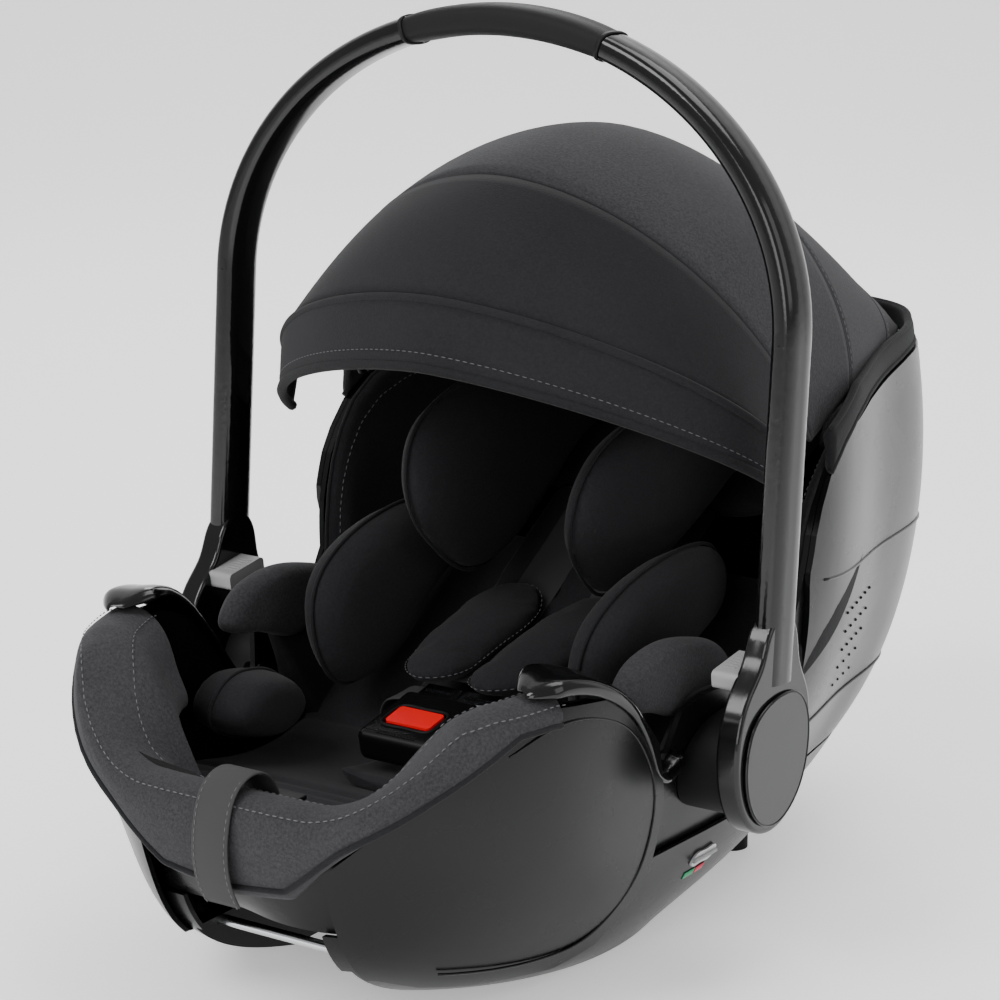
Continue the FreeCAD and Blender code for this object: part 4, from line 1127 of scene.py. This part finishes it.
class CARRIER_OT_harness(bpy.types.Operator):
    """Webbing, chest pads and the buckle"""
    bl_idname = "carrier.harness"
    bl_label = "Harness"

    def execute(self, context):
        width = sizes().web_width * 1000
        for side, sign in SIDES:
            points = []
            for y, z in shoulder_run():
                share = min(1, max(0, (y + 58) / 90))
                points.append((sign * (19 + 11 * share), y, z))
            lay_web("shoulder_web_" + side, "shoulder_strap_" + side, points, width, (1, 0, 0))
            lap = [(34, -73, 149), (48, -69, 146), (60, -62, 141), (71, -54, 131),
                   (78, -47, 112), (78, -45, 92), (78, -45, 78)]
            lay_web("lap_web_" + side, "lap_strap_" + side,
                    [(sign * x, y, z) for x, y, z in lap], width - 10, (0, 1, 0.05))
        lay_web("crotch_web", "crotch_strap", [(0, -128, z) for z in (78, 95, 112, 131)],
                width, (1, 0, 0), 30)
        pull = [(146, 138), (110, 122), (60, 100), (0, 82), (-60, 70), (-130, 66),
                (-200, 70), (-250, 84), (-276, 104), (-283, 126), (-288, 148), (-300, 168),
                (-317, 172), (-332, 164), (-338.5, 150), (-341, 136), (-341, 122),
                (-338, 108), (-330, 92)]
        lay_web("pull_web", "adjuster_strap", [(0, y, z) for y, z in pull], 27, (1, 0, 0), 160)
        tail = open_spline([(0, y - 1.0, z) for y, z in pull[11:]], 60)
        paths = [tail + (x, 0, 0) for x in (-11.5, 11.5)]
        stitch("pull_stitches", paths, "shell", 0.7)
        self.chest_pads()
        self.buckle()
        return {"FINISHED"}

    def chest_pads(self):
        """Soft pads over the shoulder straps, with stitches round the edge."""
        run = shoulder_run()
        ys, zs = zip(*run)

        def height(y):
            return float(np.interp(y, ys, zs)) - max(0.0, -58 - y) * 0.03

        plan = [(4, -58), (10, -82), (24, -91), (40, -82), (54, -50), (59, 0), (57, 36),
                (45, 47), (20, 47), (8, 30), (4, -10)]

        def place(x, y, h):
            return (x, y, height(y) + 11.5 + h)

        right = cushion("chest_pad_right", plan, place, 9.5, finish("insert knit"))
        right = puff(right, 2.5, 0.004)
        left = mirror_copy(right, "chest_pad_left")
        for side, sign in SIDES:
            piece = right if sign > 0 else left
            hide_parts("shoulder_pad_" + side)
            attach(piece, "shell")
            inner = edge_path(plan, place, 0.0, 0.3) * (sign, 1, 1)
            stitch("chest_stitches_" + side, [inner], "shell", 0.7)

    def buckle(self):
        """Buckle with a raised frame round its button; the tongues are metal."""
        dress(["buckle_body"], "satin black")
        dress(both("tongue"), "bright steel")
        turn = Matrix.Translation((0, -122, 143)) @ Matrix.Rotation(math.radians(12), 4, "X")

        def at(x, y, z):
            return turn @ Vector((x, y, z))

        corner = [(18.5, -15.5), (20.5, -4), (18.5, 7.5), (0, 9.2), (-18.5, 7.5),
                  (-20.5, -4), (-18.5, -15.5), (0, -17.2)]
        ring = np.array([at(x, y, 11.2) for x, y in closed_spline(corner, 8)])
        frame_line = tube("buckle_frame", ring, 1.2, finish("matt black"), 8, True)
        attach(frame_line, "shell")
        bars = [[at(x, y, 10.9) for x in np.linspace(-14, 14, 12)] for y in (-27, -24.2)]
        ribs = beads("buckle_ribs", bars, 2.4, 2.6, 1.2, finish("matt black"))
        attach(ribs, "shell")


# ---- canopy

# Arches: top along, top up, half width, foot along, foot up, roundness.
HEM = (-119, 384, 191, -3, 311, 1.6)
PIPING = (-109, 426, 189, 2, 338, 1.75)
FRONT_SEAM = (-30, 493, 180, 62, 325, 1.9)
MID_SEAM = (165, 488, 174, 122, 344, 1.7)
REAR_SEAM = (282, 404, 146, 224, 350, 1.8)
HEAD_END = (322, 352, 118, 296, 349, 2.0)


def blend_arch(a, b, share, bulge):
    """Arch between two others, lifted by bulge halfway."""
    mix = [p + (q - p) * share for p, q in zip(a, b)]
    lift = 4 * share * (1 - share) * bulge
    spread = (b[0] - a[0], b[1] - a[1])
    size = math.hypot(*spread)
    mix[0] -= lift * spread[1] / size
    mix[1] += lift * spread[0] / size
    return mix


def arch_line(arch, inset=0.0, count=97):
    """Points over an arch, from the right foot to the left one."""
    top_y, top_z, half, foot_y, foot_z, full = arch
    rise = math.hypot(top_y - foot_y, top_z - foot_z)
    scale = (rise - inset) / rise
    out = []
    for turn in np.linspace(0, math.pi, count):
        c, s = math.cos(turn), max(math.sin(turn), 0)
        x = (half - inset) * math.copysign(abs(c) ** (2 / full), c)
        up = s ** (2 / full) * scale
        out.append((x, foot_y + (top_y - foot_y) * up, foot_z + (top_z - foot_z) * up))
    return np.array(out)


def even(line, count):
    """Same line with evenly spaced points."""
    d = np.r_[0, np.cumsum(np.linalg.norm(np.diff(line, axis=0), axis=1))]
    at = np.linspace(0, d[-1], count)
    return np.stack([np.interp(at, d, line[:, k]) for k in range(3)], 1)


def panel(name, arches, material, thick, slack=0.0, count=121):
    """Cloth between arches; slack sinks it a little between its seams."""
    rows = []
    for number, arch in enumerate(arches):
        line = even(arch_line(arch, count=241), count)
        share = number / (len(arches) - 1)
        across = np.sin(np.linspace(0, math.pi, count))
        sag = slack * 4 * share * (1 - share) * across
        middle = line.mean(0)
        inward = middle - line
        inward /= np.linalg.norm(inward, axis=1)[:, None]
        rows.append(line + inward * sag[:, None])
    obj = grid(name, rows, material)
    return finish_mesh(obj, thickness=thick, offset=1.0)


def cloth_size(arches):
    """Width over the arch and length between the first and last arch, in metres."""
    lines = [even(arch_line(a, count=241), 61) for a in arches]
    width = max(np.linalg.norm(np.diff(line, axis=0), axis=1).sum() for line in lines)
    run = sum(np.linalg.norm(b[30] - a[30]) for a, b in zip(lines, lines[1:]))
    return width / 1000, run / 1000


class CARRIER_OT_canopy(bpy.types.Operator):
    """Folding canopy: brim, visor, two main panels and the skirt"""
    bl_idname = "carrier.canopy"
    bl_label = "Canopy"

    def execute(self, context):
        thick = sizes().canopy_cloth * 1000
        steps = np.linspace(0, 1, 13)
        parts = (
            ("canopy_brim_cloth", "canopy_brim", "visor knit", "fabric_dark",
             [blend_arch(HEM, PIPING, s, 3) for s in np.linspace(0.02, 0.985, 7)]),
            ("canopy_visor_cloth", "canopy_visor", "visor knit", "fabric_dark",
             [blend_arch(PIPING, FRONT_SEAM, s, 10) for s in steps * 0.98 + 0.01]),
            ("canopy_mid_cloth", "canopy_mid_panel", "grey knit", "fabric_grey",
             [blend_arch(FRONT_SEAM, MID_SEAM, s, 24) for s in
              np.linspace(0.008, 0.992, 19)]),
            ("canopy_rear_cloth", "canopy_rear_panel", "grey knit", "fabric_grey",
             [blend_arch(MID_SEAM, REAR_SEAM, s, 6) for s in np.linspace(0.01, 0.97, 12)]
             + [blend_arch(REAR_SEAM, HEAD_END, s, 6) for s in np.linspace(0.02, 1, 7)]),
        )
        pieces = {}
        for name, node, look, slot, arches in parts:
            piece = panel(name, arches, finish(look), thick, slack=1.5)
            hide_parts(node)
            pieces[name] = (piece, arches)
        for name, (piece, arches) in pieces.items():
            if name == "canopy_brim_cloth":
                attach(piece, "canopy_front")
            elif name == "canopy_visor_cloth":
                self.cross(piece, "canopy_front", "canopy_middle", PIPING, FRONT_SEAM)
            elif name == "canopy_mid_cloth":
                self.cross(piece, "canopy_middle", "shell", FRONT_SEAM, MID_SEAM)
            else:
                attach(piece, "shell")
            flat = cloth_size(arches)
        self.seams()
        self.skirt()
        return {"FINISHED"}

    def cross(self, piece, a, b, first, last):
        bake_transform(piece)

    def seams(self):
        """Piping in the seams, with a row of stitches beside every seam but the brim's."""
        radius = sizes().piping * 500
        for name, arch, look, body in (
                ("hem", HEM, "dark knit", "canopy_front"),
                ("brim", PIPING, "visor knit", "canopy_front"),
                ("front", FRONT_SEAM, "dark knit", "canopy_middle"),
                ("middle", MID_SEAM, "dark knit", "shell"),
                ("rear", REAR_SEAM, "dark knit", "shell")):
            line = even(arch_line(arch, inset=-0.6, count=241), 150)
            thick = {"hem": 1.7, "brim": 1.5}.get(name, 0.9) * radius
            pipe = tube("canopy_piping_" + name, line, thick, finish(look), 8)
            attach(pipe, body)
            after = {"hem": PIPING, "front": MID_SEAM, "middle": REAR_SEAM,
                     "rear": HEAD_END}.get(name)
            if after:
                share = {"hem": 0.2, "rear": 0.12}.get(name, 0.05)
                near = blend_arch(arch, after, share, 3.0)
                line = even(arch_line(near, inset=-2.5, count=241), 150)[5:-5]
                stitch("canopy_stitches_" + name, [line], body, 0.7)

    def skirt(self):
        """Band of cloth between the canopy's foot and the rim of the shell."""
        start, end = column_at(64, 318), AROUND / 2
        columns = np.linspace(start, end, 90)
        rings, foot, top = [], [], []
        feet = [(62, 325), (122, 344), (224, 350), (296, 349), (322, 352)]
        for column in columns:
            zr = rim_height(column)
            y = float(shell(column, zr)[1])
            upper = max(float(line_at(feet, y)) + 8, zr + 14)
            lower = zr + 1.5
            mid = (upper + lower) / 2
            loop = [(-3.4, lower), (-1.8, lower + 3), (-1.4, mid), (-3, upper - 2), (-5, upper),
                    (-8, upper - 1), (-7.5, mid + 1), (-7, mid - 2), (-6, lower + 2)]
            loop = closed_spline(loop, 4)
            rings.append(shell(column, loop[:, 1], loop[:, 0]))
            foot.append(shell(column, lower + 1, -2.6))
            top.append(shell(column, upper - 1, -5.0))
        for side, sign in SIDES:
            band = grid("canopy_skirt_" + side, np.array(rings) * (sign, 1, 1),
                        finish("dark knit"), close_columns=True, caps=True)
            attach(band, "shell")
        for name, path in (("hem", foot), ("top", top)):
            side_cords("canopy_skirt_" + name, path, 2.0, "dark knit", "shell")


# ---- panel and run

OPERATORS = [CARRIER_OT_stage, CARRIER_OT_shell, CARRIER_OT_handle, CARRIER_OT_bumper,
             CARRIER_OT_guides, CARRIER_OT_lining, CARRIER_OT_insert, CARRIER_OT_harness,
             CARRIER_OT_canopy]


class CARRIER_PT_panel(bpy.types.Panel):
    """Steps that build the carrier"""
    bl_label = "Infant carrier"
    bl_idname = "CARRIER_PT_panel"
    bl_space_type = "VIEW_3D"
    bl_region_type = "UI"
    bl_category = "Carrier"

    def draw(self, context):
        for operator in OPERATORS:
            self.layout.operator(operator.bl_idname)


CLASSES = [CARRIER_PG_looks, CARRIER_PG_sizes] + OPERATORS + [CARRIER_PT_panel]


def register():
    for cls in CLASSES:
        bpy.utils.register_class(cls)
    bpy.types.Scene.carrier_looks = bpy.props.PointerProperty(type=CARRIER_PG_looks)
    bpy.types.Scene.carrier_sizes = bpy.props.PointerProperty(type=CARRIER_PG_sizes)


def unregister():
    del bpy.types.Scene.carrier_sizes
    del bpy.types.Scene.carrier_looks
    for cls in reversed(CLASSES):
        bpy.utils.unregister_class(cls)


def main():
    register()
    for operator in OPERATORS:
        group, name = operator.bl_idname.split(".")
        getattr(getattr(bpy.ops, group), name)()


if __name__ == "__main__":
    main()
